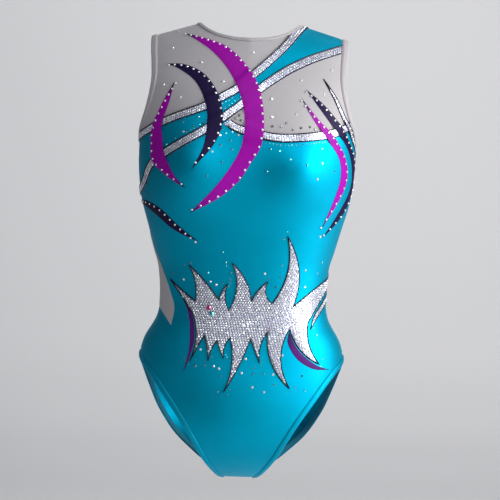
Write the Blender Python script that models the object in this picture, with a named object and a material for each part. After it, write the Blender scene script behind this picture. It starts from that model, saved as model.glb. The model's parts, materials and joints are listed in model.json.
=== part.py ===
"""Sleeveless gymnastics leotard in an adult small: panels, trims, appliques, bindings and fastener.

Frame: metres, +Z up, the front faces -Y, and +X is the viewer's right when facing the front.
The origin is the middle of the neck opening, where the garment hangs from the wearer's shoulders.

Design lengths are millimetres, and heights count up from the crotch. Every cloth piece is cut
flat on a pattern plane (q, v) and wrapped onto the body: q runs round the body from the centre
front, and v runs up it, over the shoulder at the top and under the crotch at the bottom.
"""

import math

import bpy
from mathutils import Vector
from mathutils.geometry import delaunay_2d_cdt

MM = 0.001
ORIGIN_HEIGHT = 625.0  # the origin's height above the crotch
ARC = 130.0  # pattern millimetres for each radian round the body
SIDE_Q = ARC * math.pi / 2  # the side seam
BACK_Q = ARC * math.pi  # the centre back

# Body: (height, half size) pairs, and how square the cross-section is.
HALF_WIDTH = (
    (0, 150), (60, 150), (125, 149), (163, 145), (193, 138), (224, 121), (250, 116.5),
    (295, 119.5), (321, 127), (349, 135), (392, 147), (434, 152), (487, 154), (540, 170),
    (585, 180), (680, 180),
)
FRONT_DEPTH = (
    (0, 94), (60, 94), (120, 97), (163, 95), (207, 90), (250, 85), (295, 87), (349, 94),
    (392, 101), (434, 104), (487, 101), (540, 90), (585, 80), (680, 80),
)
BACK_DEPTH = (
    (0, 104), (60, 108), (120, 110), (163, 103), (207, 90), (250, 80), (295, 80), (349, 88),
    (434, 98), (487, 98), (540, 90), (585, 80), (680, 80),
)
ROUNDNESS = 2.3
BUMPS = (  # (x, height, spread in x, spread in height, push in y), the last one negative to the front
    (-80, 430, 42, 46, -19), (80, 430, 42, 46, -19), (0, 105, 70, 60, -7),
    (-66, 92, 46, 52, 13), (66, 92, 46, 52, 13),
)
SHOULDER_START = 520.0  # above this the cloth curves back over the shoulder
CROTCH_START = 90.0  # below this it curves under to the crotch
NECK_POINT_HEIGHT, NECK_POINT_X, SHOULDER_SLOPE = 641.0, 70.0, 0.30

# Layers: (inner face, outer face) above the body.
CLOTH = (0.0, 1.0)
BINDING = (-0.4, 1.8)
LEG_HEM = (-0.2, 1.8)
LEG_ELASTIC = (-1.6, -0.6)
LINING = (-2.2, -1.3)
TRIM = (1.8, 3.1)
APPLIQUE = (2.1, 3.1)
LIFT_OVER_TRIM = 2.2
LIFT_FULL, LIFT_NONE = 14.0, 26.0  # distance from a trim's centre line

OUTLINE_STEP = 9.0
GAP = 0.3  # half of the space between neighbouring cut edges
TAPE_GAP = 0.8  # between a cut edge and the tape that binds it
NECK_TAPE, ARM_TAPE, KEYHOLE_TAPE, HEM_TAPE = 7.0, 6.5, 5.0, 8.0
TRIM_WIDTHS = {"upper": (10.0, 16.0), "lower": (12.0, 14.5), "bust": (11.5, 13.0)}  # at the start and the end
PANEL_SPACING, TRIM_SPACING, APPLIQUE_SPACING, EDGE_STEP = 26.0, 11.0, 13.0, 13.0

# Openings, as edges from the shoulder or the centre downwards: (x, height) on the front or the back.
FRONT_NECK = ((0, 615), (24, 617), (45, 622.5), (58, 629.5), (66, 636.5), (69, 640), (70, 641.5))
BACK_NECK = ((2.4, 622), (30, 624), (52, 630.5), (65, 637.5), (69, 640), (70, 641.5))
FRONT_ARM = ((140, 621), (138, 597), (136, 575), (135.5, 553), (139, 530), (145, 508), (151.5, 488))
BACK_ARM = ((140, 621), (134, 590), (131, 560), (134, 530), (143, 500), (151.5, 484))
ARM_BOTTOM = 476.0
FRONT_LEG = (
    (25, 0), (26.5, 1.5), (37, 13), (52, 34), (66, 58), (83, 85.5), (104, 115), (120.5, 137.5), (136, 156),
)
BACK_LEG = ((25, 0), (27, 1.5), (42, 9), (68, 26), (97, 52), (119, 86), (134, 124), (142, 150))
LEG_TOP = 168.0
KEYHOLE = ((2.4, 622), (3.6, 600), (12, 578), (21, 556), (19, 537), (9, 524), (0, 521))
LINING_FRONT = ((58, 84), (48, 70), (40, 55), (27, 32), (17, 13), (15, 4))
LINING_CROTCH = 14.0
LINING_BACK = ((15, 4), (17, 13), (25, 30), (33, 48))
BACK_YOKE_SEAM = ((138, 452), (110, 450), (50, 440), (0, 434), (-50, 440), (-110, 450), (-138, 452))
SEAM_SIDE = 452.0

# Centre lines of the silver trims on the front; they continue under the bindings.
UPPER_LINE = (
    (-190, 452), (-150, 477), (-114, 495), (-58, 516), (-39, 527), (-13, 543), (6, 561),
    (29, 583), (48, 603), (63, 623), (74, 640), (80, 655),
)
LOWER_LINE = (
    (-190, 378), (-160, 390), (-143, 409), (-135, 429), (-127, 441), (-110, 452), (-85, 467),
    (-55, 485), (-29, 504), (-6, 522), (16, 542), (30, 553), (51, 568), (68, 578), (88, 588),
    (120, 601), (146, 611), (170, 618),
)
BUST_LINE = (
    (-28, 495), (-18, 488), (-4, 483), (23, 477), (39, 474.5), (58, 474), (85, 477),
    (106, 481), (124, 487), (140, 496), (160, 508), (185, 520),
)

# Crescent appliques: each edge from the upper tip to the lower tip.
CRESCENTS = {
    "purple_crescent_large": (
        "purple_lycra",
        ((-90, 621), (-66, 615), (-31, 601), (-3, 574), (14, 544), (22, 505), (20, 465), (6, 439),
         (-10, 414), (-36, 391), (-75, 370)),
        ((-90, 621), (-71, 609), (-49, 592), (-28, 567), (-12, 535), (-4, 500), (-7, 464), (-21, 434),
         (-43, 404), (-75, 370)),
    ),
    "indigo_crescent": (
        "indigo_lycra",
        ((-113, 576), (-90, 575), (-65, 564), (-47, 544), (-36, 518), (-34, 493), (-45, 463), (-74, 428)),
        ((-113, 576), (-94, 567), (-73, 550), (-59, 523), (-55, 498), (-59, 461), (-74, 428)),
    ),
    "purple_crescent_small": (
        "purple_lycra",
        ((-102, 550), (-108, 523), (-116, 496), (-117, 478), (-112, 451), (-99, 422), (-82, 403)),
        ((-102, 550), (-118, 521), (-128, 496), (-133, 468), (-129, 441), (-109, 420), (-82, 403)),
    ),
    "indigo_side_spike": (
        "indigo_lycra",
        ((-64, 331), (-92, 353), (-118, 376), (-142, 388), (-160, 389)),
        ((-64, 331), (-98, 347), (-124, 368), (-142, 381), (-160, 389)),
    ),
    "purple_crescent_right": (
        "purple_lycra",
        ((73, 530), (90, 501), (111, 473), (127, 450), (130, 424), (122, 395), (105, 352)),
        ((73, 530), (96, 503), (115, 483), (133, 459), (140, 431), (134, 404), (105, 352)),
    ),
    "indigo_crescent_right": (
        "indigo_lycra",
        ((79, 543), (97, 519), (119, 491), (138, 467), (146, 443), (146, 414), (134, 385), (108, 341)),
        ((79, 543), (105, 522), (125, 500), (141, 476), (150.5, 453), (151, 430), (148, 404), (135, 373),
         (108, 341)),
    ),
    "silver_spike_right": (
        "silver_foil",
        ((103, 559), (119, 530), (130, 507), (143, 482), (152.6, 460), (158, 430), (158, 405)),
        ((103, 559), (121.5, 533), (135, 507), (147, 484), (153.4, 464), (164, 432), (158, 405)),
    ),
    "purple_accent_right": (
        "indigo_lycra",
        ((64.5, 210), (62.5, 198), (68, 184), (80, 170), (101, 159), (122, 158)),
        ((64.5, 210), (70, 197), (79, 183.5), (91.5, 172.5), (106, 163.3), (122, 158)),
    ),
    "purple_accent_left": (
        "indigo_lycra",
        ((-84, 254), (-77, 240), (-72.5, 224), (-71, 205), (-71.5, 185), (-74.5, 167), (-79, 150)),
        ((-84, 254), (-69.3, 231), (-65.2, 212), (-64.6, 203), (-65.6, 190), (-73, 164), (-79, 150)),
    ),
    "crest_side_right": (
        "silver_foil",
        ((94, 213), (98.5, 231), (108, 247), (119.5, 264), (138, 287), (165, 312)),
        ((94, 213), (103, 229), (114, 246), (124, 260), (142, 274), (165, 312)),
    ),
    "mesh_side_left": (
        "nude_mesh",
        ((-134, 345), (-124, 318), (-112, 290), (-101, 262), (-94, 238), (-98, 214)),
        ((-134, 345), (-138, 318), (-140, 290), (-132, 262), (-116, 238), (-98, 214)),
    ),
}
CROSSING = (
    "purple_crescent_large", "indigo_crescent", "purple_crescent_small", "purple_crescent_right",
    "indigo_crescent_right", "silver_spike_right",
)

# Waist crest: corners clockwise from the far left tip; each third number bows the edge that follows.
CREST = (
    (-101, 278, -1), (-65, 249, -4.5), (-75, 298, 2.5), (-33, 251, 2), (-21, 274, -4),
    (-19, 237, -8.5), (-16, 303, 6), (12, 250, 3), (34, 278, -6), (40, 248, -11), (59, 341, 12),
    (69, 244, 1), (128, 292, 0.5), (90, 222, -6.5), (107, 166, 7.4), (65, 214, -12), (67, 133, 10.5),
    (35, 209, -4.3), (25, 167, 0), (12, 199, 2.6), (-23, 126, -6.7), (-16, 200, -3.4), (-24, 172, 1),
    (-33, 196, -2.4), (-45, 167, -1), (-51, 202, -0.6), (-70, 166, -6),
    (-67.5, 231, -0.5),
)

COLOURS = {  # material: (colour, roughness, metallic)
    "teal_lycra": ((0.0, 0.33, 0.50, 1), 0.35, 0.0),
    "nude_mesh": ((0.40, 0.385, 0.40, 1), 0.75, 0.0),
    "nude_binding": ((0.42, 0.40, 0.42, 1), 0.6, 0.0),
    "purple_lycra": ((0.32, 0.003, 0.34, 1), 0.4, 0.0),
    "indigo_lycra": ((0.015, 0.008, 0.055, 1), 0.4, 0.0),
    "silver_foil": ((0.62, 0.63, 0.72, 1), 0.3, 0.6),
    "lining_knit": ((0.60, 0.56, 0.53, 1), 0.8, 0.0),
    "dyed_elastic": ((0.0, 0.20, 0.30, 1), 0.7, 0.0),
    "steel": ((0.60, 0.60, 0.62, 1), 0.3, 1.0),
}


def clear_scene():
    for thing in list(bpy.data.objects):
        bpy.data.objects.remove(thing)


def make_material(name):
    colour, roughness, metallic = COLOURS[name]
    material = bpy.data.materials.get(name) or bpy.data.materials.new(name)
    material.use_nodes = True
    shader = material.node_tree.nodes["Principled BSDF"]
    shader.inputs["Base Color"].default_value = colour
    shader.inputs["Roughness"].default_value = roughness
    shader.inputs["Metallic"].default_value = metallic
    return material


# Curves


def smooth_between(points, at, where):
    """The smooth curve through the points, given the parameter of each, at one parameter."""
    i = max(1, min(len(points) - 1, next((k for k, t in enumerate(at) if t > where), len(at) - 1)))
    slopes = []
    for k in (i - 1, i):
        low, high = max(k - 1, 0), min(k + 1, len(points) - 1)
        slopes.append((points[high] - points[low]) / (at[high] - at[low]))
    span = at[i] - at[i - 1]
    s = (where - at[i - 1]) / span
    near = (1 + 2 * s) * (1 - s) ** 2 * points[i - 1] + s * (1 - s) ** 2 * span * slopes[0]
    return near + s * s * (3 - 2 * s) * points[i] + s * s * (s - 1) * span * slopes[1]


def profile(table, height):
    heights = [row[0] for row in table]
    where = min(max(height, heights[0]), heights[-1])
    return smooth_between([row[1] for row in table], heights, where)


def distances(points):
    """Each point's distance from the first, measured along the corners."""
    at = [0.0]
    for a, b in zip(points, points[1:]):
        at.append(at[-1] + (b - a).length)
    return at


def smooth_line(points, step):
    """Evenly spaced points on the smooth curve through a few design points."""
    points = [Vector(p) for p in points]
    at = distances(points)
    count = max(2, round(at[-1] / step))
    return [smooth_between(points, at, at[-1] * k / count) for k in range(count + 1)]


def bowed_outline(corners, step):
    """A closed outline whose edges are arcs: a positive bow bends an edge to the left of its run."""
    outline = []
    for (x0, h0, bow), (x1, h1, _) in zip(corners, corners[1:] + corners[:1]):
        start, end = Vector((x0, h0)), Vector((x1, h1))
        run = end - start
        side = Vector((-run.y, run.x)).normalized()
        count = max(2, round(run.length / step))
        for k in range(count):
            t = k / count
            outline.append(start + run * t + side * bow * 4 * t * (1 - t))
    return outline


def shifted(line, distance):
    """The pattern line moved to the left of its run."""
    moved = []
    for k, point in enumerate(line):
        run = line[min(k + 1, len(line) - 1)] - line[max(k - 1, 0)]
        moved.append(point + Vector((-run.y, run.x)).normalized() * distance)
    return moved


# Body surface


def reach(theta, height):
    """Distance from the body's axis to its side in the direction theta, 0 being the front."""
    depth = FRONT_DEPTH if math.cos(theta) > 0 else BACK_DEPTH
    across = (abs(math.sin(theta)) / profile(HALF_WIDTH, height)) ** ROUNDNESS
    along = (abs(math.cos(theta)) / profile(depth, height)) ** ROUNDNESS
    return (across + along) ** (-1 / ROUNDNESS)


def shoulder_height(theta):
    x = abs(reach(theta, HALF_WIDTH[-1][0]) * math.sin(theta))
    return NECK_POINT_HEIGHT - SHOULDER_SLOPE * (x - NECK_POINT_X)


def body_point(q, v):
    theta = q / ARC
    height, fullness = v, 1.0
    if v > SHOULDER_START:
        span = shoulder_height(theta) - SHOULDER_START
        height = SHOULDER_START + span * math.sin((v - SHOULDER_START) / span)
        fullness = math.cos((v - SHOULDER_START) / span)
    elif v < CROTCH_START:
        turn = (CROTCH_START - v) / CROTCH_START
        height = CROTCH_START * (1 - math.sin(turn))
        fullness = math.cos(turn)
    radius = reach(theta, height)
    x = radius * math.sin(theta)
    y = -radius * math.cos(theta)
    for bump_x, bump_height, spread_x, spread_height, push in BUMPS:
        facing = max(0.0, math.copysign(1, push) * -math.cos(theta)) ** 0.5
        far = ((x - bump_x) / spread_x) ** 2 + ((height - bump_height) / spread_height) ** 2
        y += push * facing * math.exp(-far)
    return Vector((x, y * fullness, height))


def body_frame(q, v):
    """The body's point and outward normal at a pattern point."""
    round_way = body_point(q + 0.5, v) - body_point(q - 0.5, v)
    up_way = body_point(q, v + 0.5) - body_point(q, v - 0.5)
    return body_point(q, v), round_way.cross(up_way).normalized()


def climb(theta, height):
    """The pattern's v at a height."""
    if height > SHOULDER_START:
        span = shoulder_height(theta) - SHOULDER_START
        return SHOULDER_START + span * math.asin(min(1.0, (height - SHOULDER_START) / span))
    if height < CROTCH_START:
        return CROTCH_START * (1 - math.asin(min(1.0, (CROTCH_START - height) / CROTCH_START)))
    return height


def on_front(x, height):
    """Pattern point of a place seen from the front; past the side, x runs on round the body."""
    half = profile(HALF_WIDTH, height)
    if abs(x) >= half:
        return Vector((math.copysign(SIDE_Q + abs(x) - half, x), climb(math.pi / 2, height)))
    low, high = 0.0, math.pi / 2
    for _ in range(40):
        theta = (low + high) / 2
        if reach(theta, height) * math.sin(theta) < abs(x):
            low = theta
        else:
            high = theta
    return Vector((math.copysign(theta * ARC, x), climb(theta, height)))


def on_back(x, height):
    """Pattern point of a place on the back, x still counted towards +X."""
    low, high = math.pi / 2, math.pi
    for _ in range(40):
        theta = (low + high) / 2
        if reach(theta, height) * math.sin(theta) > abs(x):
            low = theta
        else:
            high = theta
    q = theta * ARC if x >= 0 else 2 * BACK_Q - theta * ARC
    return Vector((q, climb(theta, height)))


def front_line(points, step):
    return [on_front(*p) for p in smooth_line(points, step)]


def back_line(points, step):
    return [on_back(*p) for p in smooth_line(points, step)]


# Cutting cloth


def resampled(polygon, spacing):
    """The polygon anticlockwise, with no edge longer than the spacing."""
    turning = sum(a.cross(b) for a, b in zip(polygon, polygon[1:] + polygon[:1]))
    if turning < 0:
        polygon = polygon[::-1]
    out = []
    for a, b in zip(polygon, polygon[1:] + polygon[:1]):
        count = max(1, math.ceil((b - a).length / spacing))
        out += [a + (b - a) * k / count for k in range(count)]
    return out


def near_edge(point, polygons, distance):
    for polygon in polygons:
        for a, b in zip(polygon, polygon[1:] + polygon[:1]):
            run = b - a
            t = min(1.0, max(0.0, (point - a).dot(run) / max(run.dot(run), 1e-9)))
            if (point - a - run * t).length < distance:
                return True
    return False


def filling_points(polygon, polygons, spacing):
    """A triangular grid over the polygon's box, clear of every edge."""
    low_q, high_q = min(p.x for p in polygon), max(p.x for p in polygon)
    low_v, high_v = min(p.y for p in polygon), max(p.y for p in polygon)
    row_height = spacing * math.sqrt(3) / 2
    points = []
    for row in range(1, math.ceil((high_v - low_v) / row_height)):
        for column in range(math.ceil((high_q - low_q) / spacing)):
            point = Vector((low_q + (column + row % 2 / 2) * spacing, low_v + row * row_height))
            if not near_edge(point, polygons, spacing * 0.45):
                points.append(point)
    return points


def largest_piece(triangles):
    """The triangles of the largest connected piece; small offcuts at the edges fall away."""
    leader = {k: k for triangle in triangles for k in triangle}

    def find(k):
        while leader[k] != k:
            k = leader[k]
        return k

    for a, b, c in triangles:
        leader[find(b)] = find(a)
        leader[find(c)] = find(a)
    pieces = {}
    for triangle in triangles:
        pieces.setdefault(find(triangle[0]), []).append(triangle)
    return max(pieces.values(), key=len)


def cut_cloth(keep, cut, spacing):
    """Points and triangles of what lies inside every polygon of keep and outside all of cut."""
    polygons = [resampled(p, spacing) for p in keep + cut]
    points, faces = [], []
    for polygon in polygons:
        faces.append(list(range(len(points), len(points) + len(polygon))))
        points += polygon
    points += filling_points(polygons[0], polygons, spacing)
    points, _, triangles, _, _, origins = delaunay_2d_cdt(points, [], faces, 1, 1e-4)
    wanted = set(range(len(keep)))
    kept = largest_piece([t for t, origin in zip(triangles, origins) if set(origin) == wanted])
    used = sorted({k for triangle in kept for k in triangle})
    number = {old: new for new, old in enumerate(used)}
    return [points[k] for k in used], [[number[k] for k in triangle] for triangle in kept]


def add_object(name, material, vertices, faces):
    """One named object from vertices in design millimetres."""
    mesh = bpy.data.meshes.new(name)
    mesh.from_pydata([(v - Vector((0, 0, ORIGIN_HEIGHT))) * MM for v in vertices], [], faces)
    mesh.materials.append(make_material(material))
    mesh.shade_smooth()
    mesh.set_sharp_from_angle(angle=math.radians(40))
    thing = bpy.data.objects.new(name, mesh)
    bpy.context.scene.collection.objects.link(thing)
    return thing


def add_cloth(name, material, cloth, layer, lift=None):
    """The cut cloth wrapped onto the body as one closed sheet between the layer's two faces."""
    points, triangles = cloth
    inner, outer = [], []
    for point in points:
        place, normal = body_frame(*point)
        extra = lift(point) if lift else 0.0
        inner.append(place + normal * (layer[0] + extra))
        outer.append(place + normal * (layer[1] + extra))
    count = len(points)
    faces = [tuple(count + k for k in t) for t in triangles] + [tuple(reversed(t)) for t in triangles]
    edges = {(a, b) for t in triangles for a, b in zip(t, t[1:] + t[:1])}
    faces += [(a, b, count + b, count + a) for a, b in sorted(edges) if (b, a) not in edges]
    return add_object(name, material, inner + outer, faces)


def add_tape(name, material, rails, layer, closed):
    """A tape over side-by-side rails of (point, normal), from its left edge to its right edge."""
    across, along = len(rails), len(rails[0])
    vertices = []
    for height in layer:
        for rail in rails:
            vertices += [place + normal * height for place, normal in rail]
    last = along if closed else along - 1
    inner = []
    for j in range(across - 1):
        for i in range(last):
            a, b = j * along + i, j * along + (i + 1) % along
            inner.append((a, b, b + along, a + along))
    top = across * along
    outer = [tuple(top + k for k in reversed(face)) for face in inner]
    sides = []
    for i in range(last):
        a, b = i, (i + 1) % along
        sides.append((b, a, a + top, b + top))
        a, b = a + top - along, b + top - along
        sides.append((a, b, b + top, a + top))
    if not closed:
        for j in range(across - 1):
            a = j * along
            sides.append((a, a + along, a + along + top, a + top))
            a += along - 1
            sides.append((a + along, a, a + top, a + along + top))
    return add_object(name, material, vertices, inner + outer + sides)


# Openings, cut through both the front and the back


CROTCH_V = CROTCH_START * (1 - math.pi / 2)
FAR = 900.0


def mirrored(line, back=False):
    centre = 2 * BACK_Q if back else 0.0
    return [Vector((centre - p.x, p.y)) for p in line]


def two_edges(front, side, back):
    """Front and back edges of an opening, each ending at the side seam, on one smooth curve."""
    front, back = [on_front(*p) for p in front], [on_back(*p) for p in back]
    points = front + [side] + back[::-1]
    at = distances(points)
    middle = at[len(front)]
    edges = []
    for start, end in ((0.0, middle), (at[-1], middle)):
        count = max(2, round(abs(end - start) / EDGE_STEP))
        stops = [start + (end - start) * k / count for k in range(count + 1)]
        edges.append([smooth_between(points, at, stop) for stop in stops])
    return edges


def arm_lines():
    return two_edges(FRONT_ARM, Vector((SIDE_Q, ARM_BOTTOM)), BACK_ARM)


def leg_lines():
    return two_edges(FRONT_LEG, Vector((SIDE_Q, LEG_TOP)), BACK_LEG)


def shoulder_v(q):
    return climb(q / ARC, 2 * NECK_POINT_HEIGHT)


def inside_edge(line, distance, left, start_step, end_step):
    """The edge moved into the cloth; its two ends move straight along the seams they lie on."""
    moved = shifted(line, distance if left else -distance)
    for end, step in ((0, start_step), (-1, end_step)):
        moved[end] = line[end] + Vector(step) * distance
        if line[end].y > shoulder_v(line[end].x) - 1:
            moved[end].y = shoulder_v(moved[end].x)
    return moved


def arm_edges(distance):
    """Front and back armhole edges of the +X side, this far inside the cloth."""
    front, back = arm_lines()
    return (
        inside_edge(front, distance, False, (-1, 0), (0, -1)),
        inside_edge(back, distance, True, (1, 0), (0, -1)),
    )


def leg_edges(distance):
    front, back = leg_lines()
    return (
        inside_edge(front, distance, True, (-1, 0), (0, 1)),
        inside_edge(back, distance, False, (1, 0), (0, 1)),
    )


def neck_edges(distance):
    """Front neck edge from the -X shoulder to the +X one, and the +X half of the back's."""
    half = smooth_line([on_front(*p) for p in FRONT_NECK], EDGE_STEP)
    whole = mirrored(half[:0:-1]) + half
    back = smooth_line([on_back(*p) for p in BACK_NECK], EDGE_STEP)
    return (
        inside_edge(whole, distance, False, (-1, 0), (1, 0)),
        inside_edge(back, distance, True, (0, -1), (-1, 0)),
    )


def ridge_line(start_q, end_q, below):
    """The shoulder line, a little below its crest."""
    count = 24
    line = []
    for k in range(count + 1):
        q = start_q + (end_q - start_q) * k / count
        line.append(Vector((q, shoulder_v(q) - below)))
    return line


def cut_side(line, far):
    """A cutter that takes away everything from the line outwards to the far points."""
    return list(line) + [Vector(p) for p in far]


def opening_cutters(back):
    """The neck, arm and leg holes, with room for their tapes, as pattern polygons."""
    centre = BACK_Q if back else 0.0
    pick = 1 if back else 0
    arm = arm_edges(ARM_TAPE + TAPE_GAP)[pick]
    leg = leg_edges(HEM_TAPE + TAPE_GAP)[pick]
    beyond = 60 if not back else -60
    arm = [arm[0] + Vector((0, 60))] + arm + [Vector((arm[-1].x + beyond, arm[-1].y))]
    leg = [leg[0] - Vector((0, 60))] + leg + [Vector((leg[-1].x + beyond, leg[-1].y))]
    arm_cut = cut_side(arm, [(arm[-1].x, FAR)])
    leg_cut = cut_side(leg, [(leg[-1].x, -FAR)])
    if back:
        half = neck_edges(NECK_TAPE + TAPE_GAP)[1]
        neck = mirrored(half, True)[::-1] + half
        neck.sort(key=lambda p: p.x)
    else:
        neck = neck_edges(NECK_TAPE + TAPE_GAP)[0]
    neck_cut = cut_side(neck, [(neck[-1].x, FAR), (neck[0].x, FAR)])
    flip = [[Vector((2 * centre - p.x, p.y)) for p in cutter] for cutter in (arm_cut, leg_cut)]
    return [arm_cut, leg_cut, neck_cut] + flip


def half_body(centre):
    """The front or back half of the pattern, from side seam to side seam."""
    left, right = centre - SIDE_Q + GAP, centre + SIDE_Q - GAP
    low = CROTCH_V + GAP
    return [Vector((left, low)), Vector((right, low))] + ridge_line(right, left, GAP)


# Front panels


def trim_line(points):
    return front_line(points, TRIM_SPACING)


def area_below(line, distance):
    """Everything below a trim's centre line, this far from it."""
    line = shifted(line, -distance)
    return cut_side(line, [(FAR, line[-1].y), (FAR, -FAR), (-FAR, -FAR), (-FAR, line[0].y)])


def below_bust_seam(distance):
    """Everything below the seam that follows the lower trim to the junction, then the bust trim."""
    lower = trim_line(LOWER_LINE)
    bust = trim_line(BUST_LINE)
    joined = [p for p in lower if p.x < bust[0].x - 6] + bust[1:]
    return area_below(joined, distance)


def make_front_panels():
    front = half_body(0.0)
    holes = opening_cutters(False)
    upper, lower = trim_line(UPPER_LINE), trim_line(LOWER_LINE)
    for name, material, keep, cut in (
        ("front_body_panel", "teal_lycra", [below_bust_seam(GAP)], []),
        ("front_band_panel", "teal_lycra", [area_below(upper, GAP)], [area_below(lower, -GAP)]),
        ("front_mesh_inset", "nude_mesh", [area_below(lower, GAP)], [below_bust_seam(-GAP)]),
        ("front_mesh_yoke", "nude_mesh", [], [area_below(upper, -GAP)]),
    ):
        cloth = cut_cloth([front] + keep, cut + holes, PANEL_SPACING)
        add_cloth(name, material, cloth, CLOTH)


def keyhole_edge(distance):
    """The keyhole's edge from the +X side of the nape round to the -X side."""
    half = shifted(back_line(KEYHOLE, 7), -distance)
    half[-1].x = BACK_Q
    return half + mirrored(half[:-1], True)[::-1]


def make_back_panels():
    back = half_body(BACK_Q)
    holes = opening_cutters(True)
    seam = back_line(BACK_YOKE_SEAM, 12)
    left, right = Vector((BACK_Q - SIDE_Q - 9, SEAM_SIDE)), Vector((BACK_Q + SIDE_Q + 9, SEAM_SIDE))
    seam = [left] + seam + [right]
    below = shifted(seam, -GAP) + [Vector((right.x, -FAR)), Vector((left.x, -FAR))]
    above = shifted(seam, GAP) + [Vector((right.x, FAR)), Vector((left.x, FAR))]
    add_cloth("back_body_panel", "teal_lycra", cut_cloth([back, below], holes, PANEL_SPACING), CLOTH)
    edge = keyhole_edge(KEYHOLE_TAPE + TAPE_GAP)
    keyhole = [Vector((edge[0].x, FAR))] + edge + [Vector((edge[-1].x, FAR))]
    yoke = cut_cloth([back, above], holes + [keyhole], PANEL_SPACING)
    add_cloth("back_mesh_yoke", "nude_mesh", yoke, CLOTH)


# Tapes round the openings


def rail_of(line):
    return [body_frame(*point) for point in line]


def flipped(rail):
    return [(Vector((-p.x, p.y, p.z)), Vector((-n.x, n.y, n.z))) for p, n in rail]


def make_ring_tapes():
    for name, material, edges_at, first, last, layer in (
        ("armhole_binding", "nude_binding", arm_edges, 0.0, ARM_TAPE, BINDING),
        ("leg_hem", "teal_lycra", leg_edges, HEM_TAPE, 0.0, LEG_HEM),
        ("leg_elastic", "dyed_elastic", leg_edges, HEM_TAPE - 1.5, 1.0, LEG_ELASTIC),
    ):
        rails = []
        for distance in (first, last):
            front, back = edges_at(distance)
            rails.append(rail_of(front + back[-2:0:-1]))
        add_tape(name + "_right", material, rails, layer, True)
        add_tape(name + "_left", material, [flipped(rail) for rail in rails[::-1]], layer, True)


def make_neck_and_keyhole_tapes():
    rails = []
    for distance in (0.0, NECK_TAPE):
        front, back = neck_edges(distance)
        rails.append(rail_of(mirrored(back, True) + front[1:-1] + back[::-1]))
    add_tape("neck_binding", "nude_binding", rails, BINDING, False)
    top = climb(math.pi, BACK_NECK[0][1] - NECK_TAPE) - 2 * GAP
    outer, inner = keyhole_edge(0.0), keyhole_edge(KEYHOLE_TAPE)
    below = [k for k, point in enumerate(outer) if max(point.y, inner[k].y) < top]
    rails = [rail_of([edge[k] for k in below]) for edge in (outer, inner)]
    add_tape("keyhole_binding", "nude_binding", rails, BINDING, False)


# Trims, appliques, lining and fastener


def strip(line, widths, start_along=None, extra=0.0):
    """The outline of a tapering trim; its start may be cut along another line's direction."""
    width = widths[0] + extra
    left, right = [], []
    for k, (point, beside) in enumerate(zip(line, shifted(line, 1.0))):
        half = (widths[0] + (widths[1] - widths[0]) * k / (len(line) - 1) + extra) / 2
        left.append(point + (beside - point) * half)
        right.append(point - (beside - point) * half)
    if start_along:
        run = (line[1] - line[0]).normalized()
        side = Vector((-run.y, run.x))
        along = Vector(start_along).normalized()
        left[0] = line[0] + along * (width / 2 / along.dot(side))
        right[0] = line[0] - along * (width / 2 / along.dot(side))
    return left + right[::-1]


def lift_over(lines):
    def lift(point):
        far = min((point - p).length for line in lines for p in line)
        share = min(1.0, max(0.0, (LIFT_NONE - far) / (LIFT_NONE - LIFT_FULL)))
        return LIFT_OVER_TRIM * share * share * (3 - 2 * share)

    return lift


def make_trims(lines):
    holes = opening_cutters(False)
    front = half_body(0.0)
    lower_start = lines["bust"][0]
    near = min(range(1, len(lines["lower"]) - 1), key=lambda k: (lines["lower"][k] - lower_start).length)
    along = lines["lower"][near + 1] - lines["lower"][near - 1]
    for name, widths in TRIM_WIDTHS.items():
        outline = strip(lines[name], widths, along if name == "bust" else None)
        others = [strip(lines["lower"], TRIM_WIDTHS["lower"], extra=4 * GAP)] if name == "bust" else []
        cloth = cut_cloth([outline, front], holes + others, TRIM_SPACING)
        add_cloth(name + "_silver_trim", "silver_foil", cloth, TRIM)


def make_appliques(lines):
    lift = lift_over(list(lines.values()))
    for name, (material, first, second) in CRESCENTS.items():
        outline = smooth_line(first, OUTLINE_STEP)[:-1] + smooth_line(second, OUTLINE_STEP)[:0:-1]
        outline = [on_front(*p) for p in outline]
        cloth = cut_cloth([outline], [], APPLIQUE_SPACING)
        add_cloth(name, material, cloth, APPLIQUE, lift if name in CROSSING else None)
    crest = [on_front(*p) for p in bowed_outline(CREST, OUTLINE_STEP)]
    add_cloth("waist_crest", "silver_foil", cut_cloth([crest], [], APPLIQUE_SPACING), APPLIQUE)


def make_crotch_lining():
    rails = []
    for share in (-1.0, -0.5, 0.0, 0.5, 1.0):
        front = [on_front(share * x, h) for x, h in LINING_FRONT]
        crotch = [on_front(share * LINING_CROTCH, 0)]
        back = [on_back(share * x, h) for x, h in LINING_BACK]
        rails.append(rail_of(front + crotch + back))
    add_tape("crotch_lining", "lining_knit", rails[::-1], LINING, False)


def add_wire(name, points, thickness):
    curve = bpy.data.curves.new(name, "CURVE")
    curve.dimensions = "3D"
    curve.bevel_depth = thickness / 2 * MM
    curve.bevel_resolution = 2
    curve.use_fill_caps = True
    curve.materials.append(make_material("steel"))
    spline = curve.splines.new("POLY")
    spline.points.add(len(points) - 1)
    for target, point in zip(spline.points, points):
        target.co = (*((Vector(point) - Vector((0, 0, ORIGIN_HEIGHT))) * MM), 1)
    thing = bpy.data.objects.new(name, curve)
    bpy.context.scene.collection.objects.link(thing)
    return thing


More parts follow.
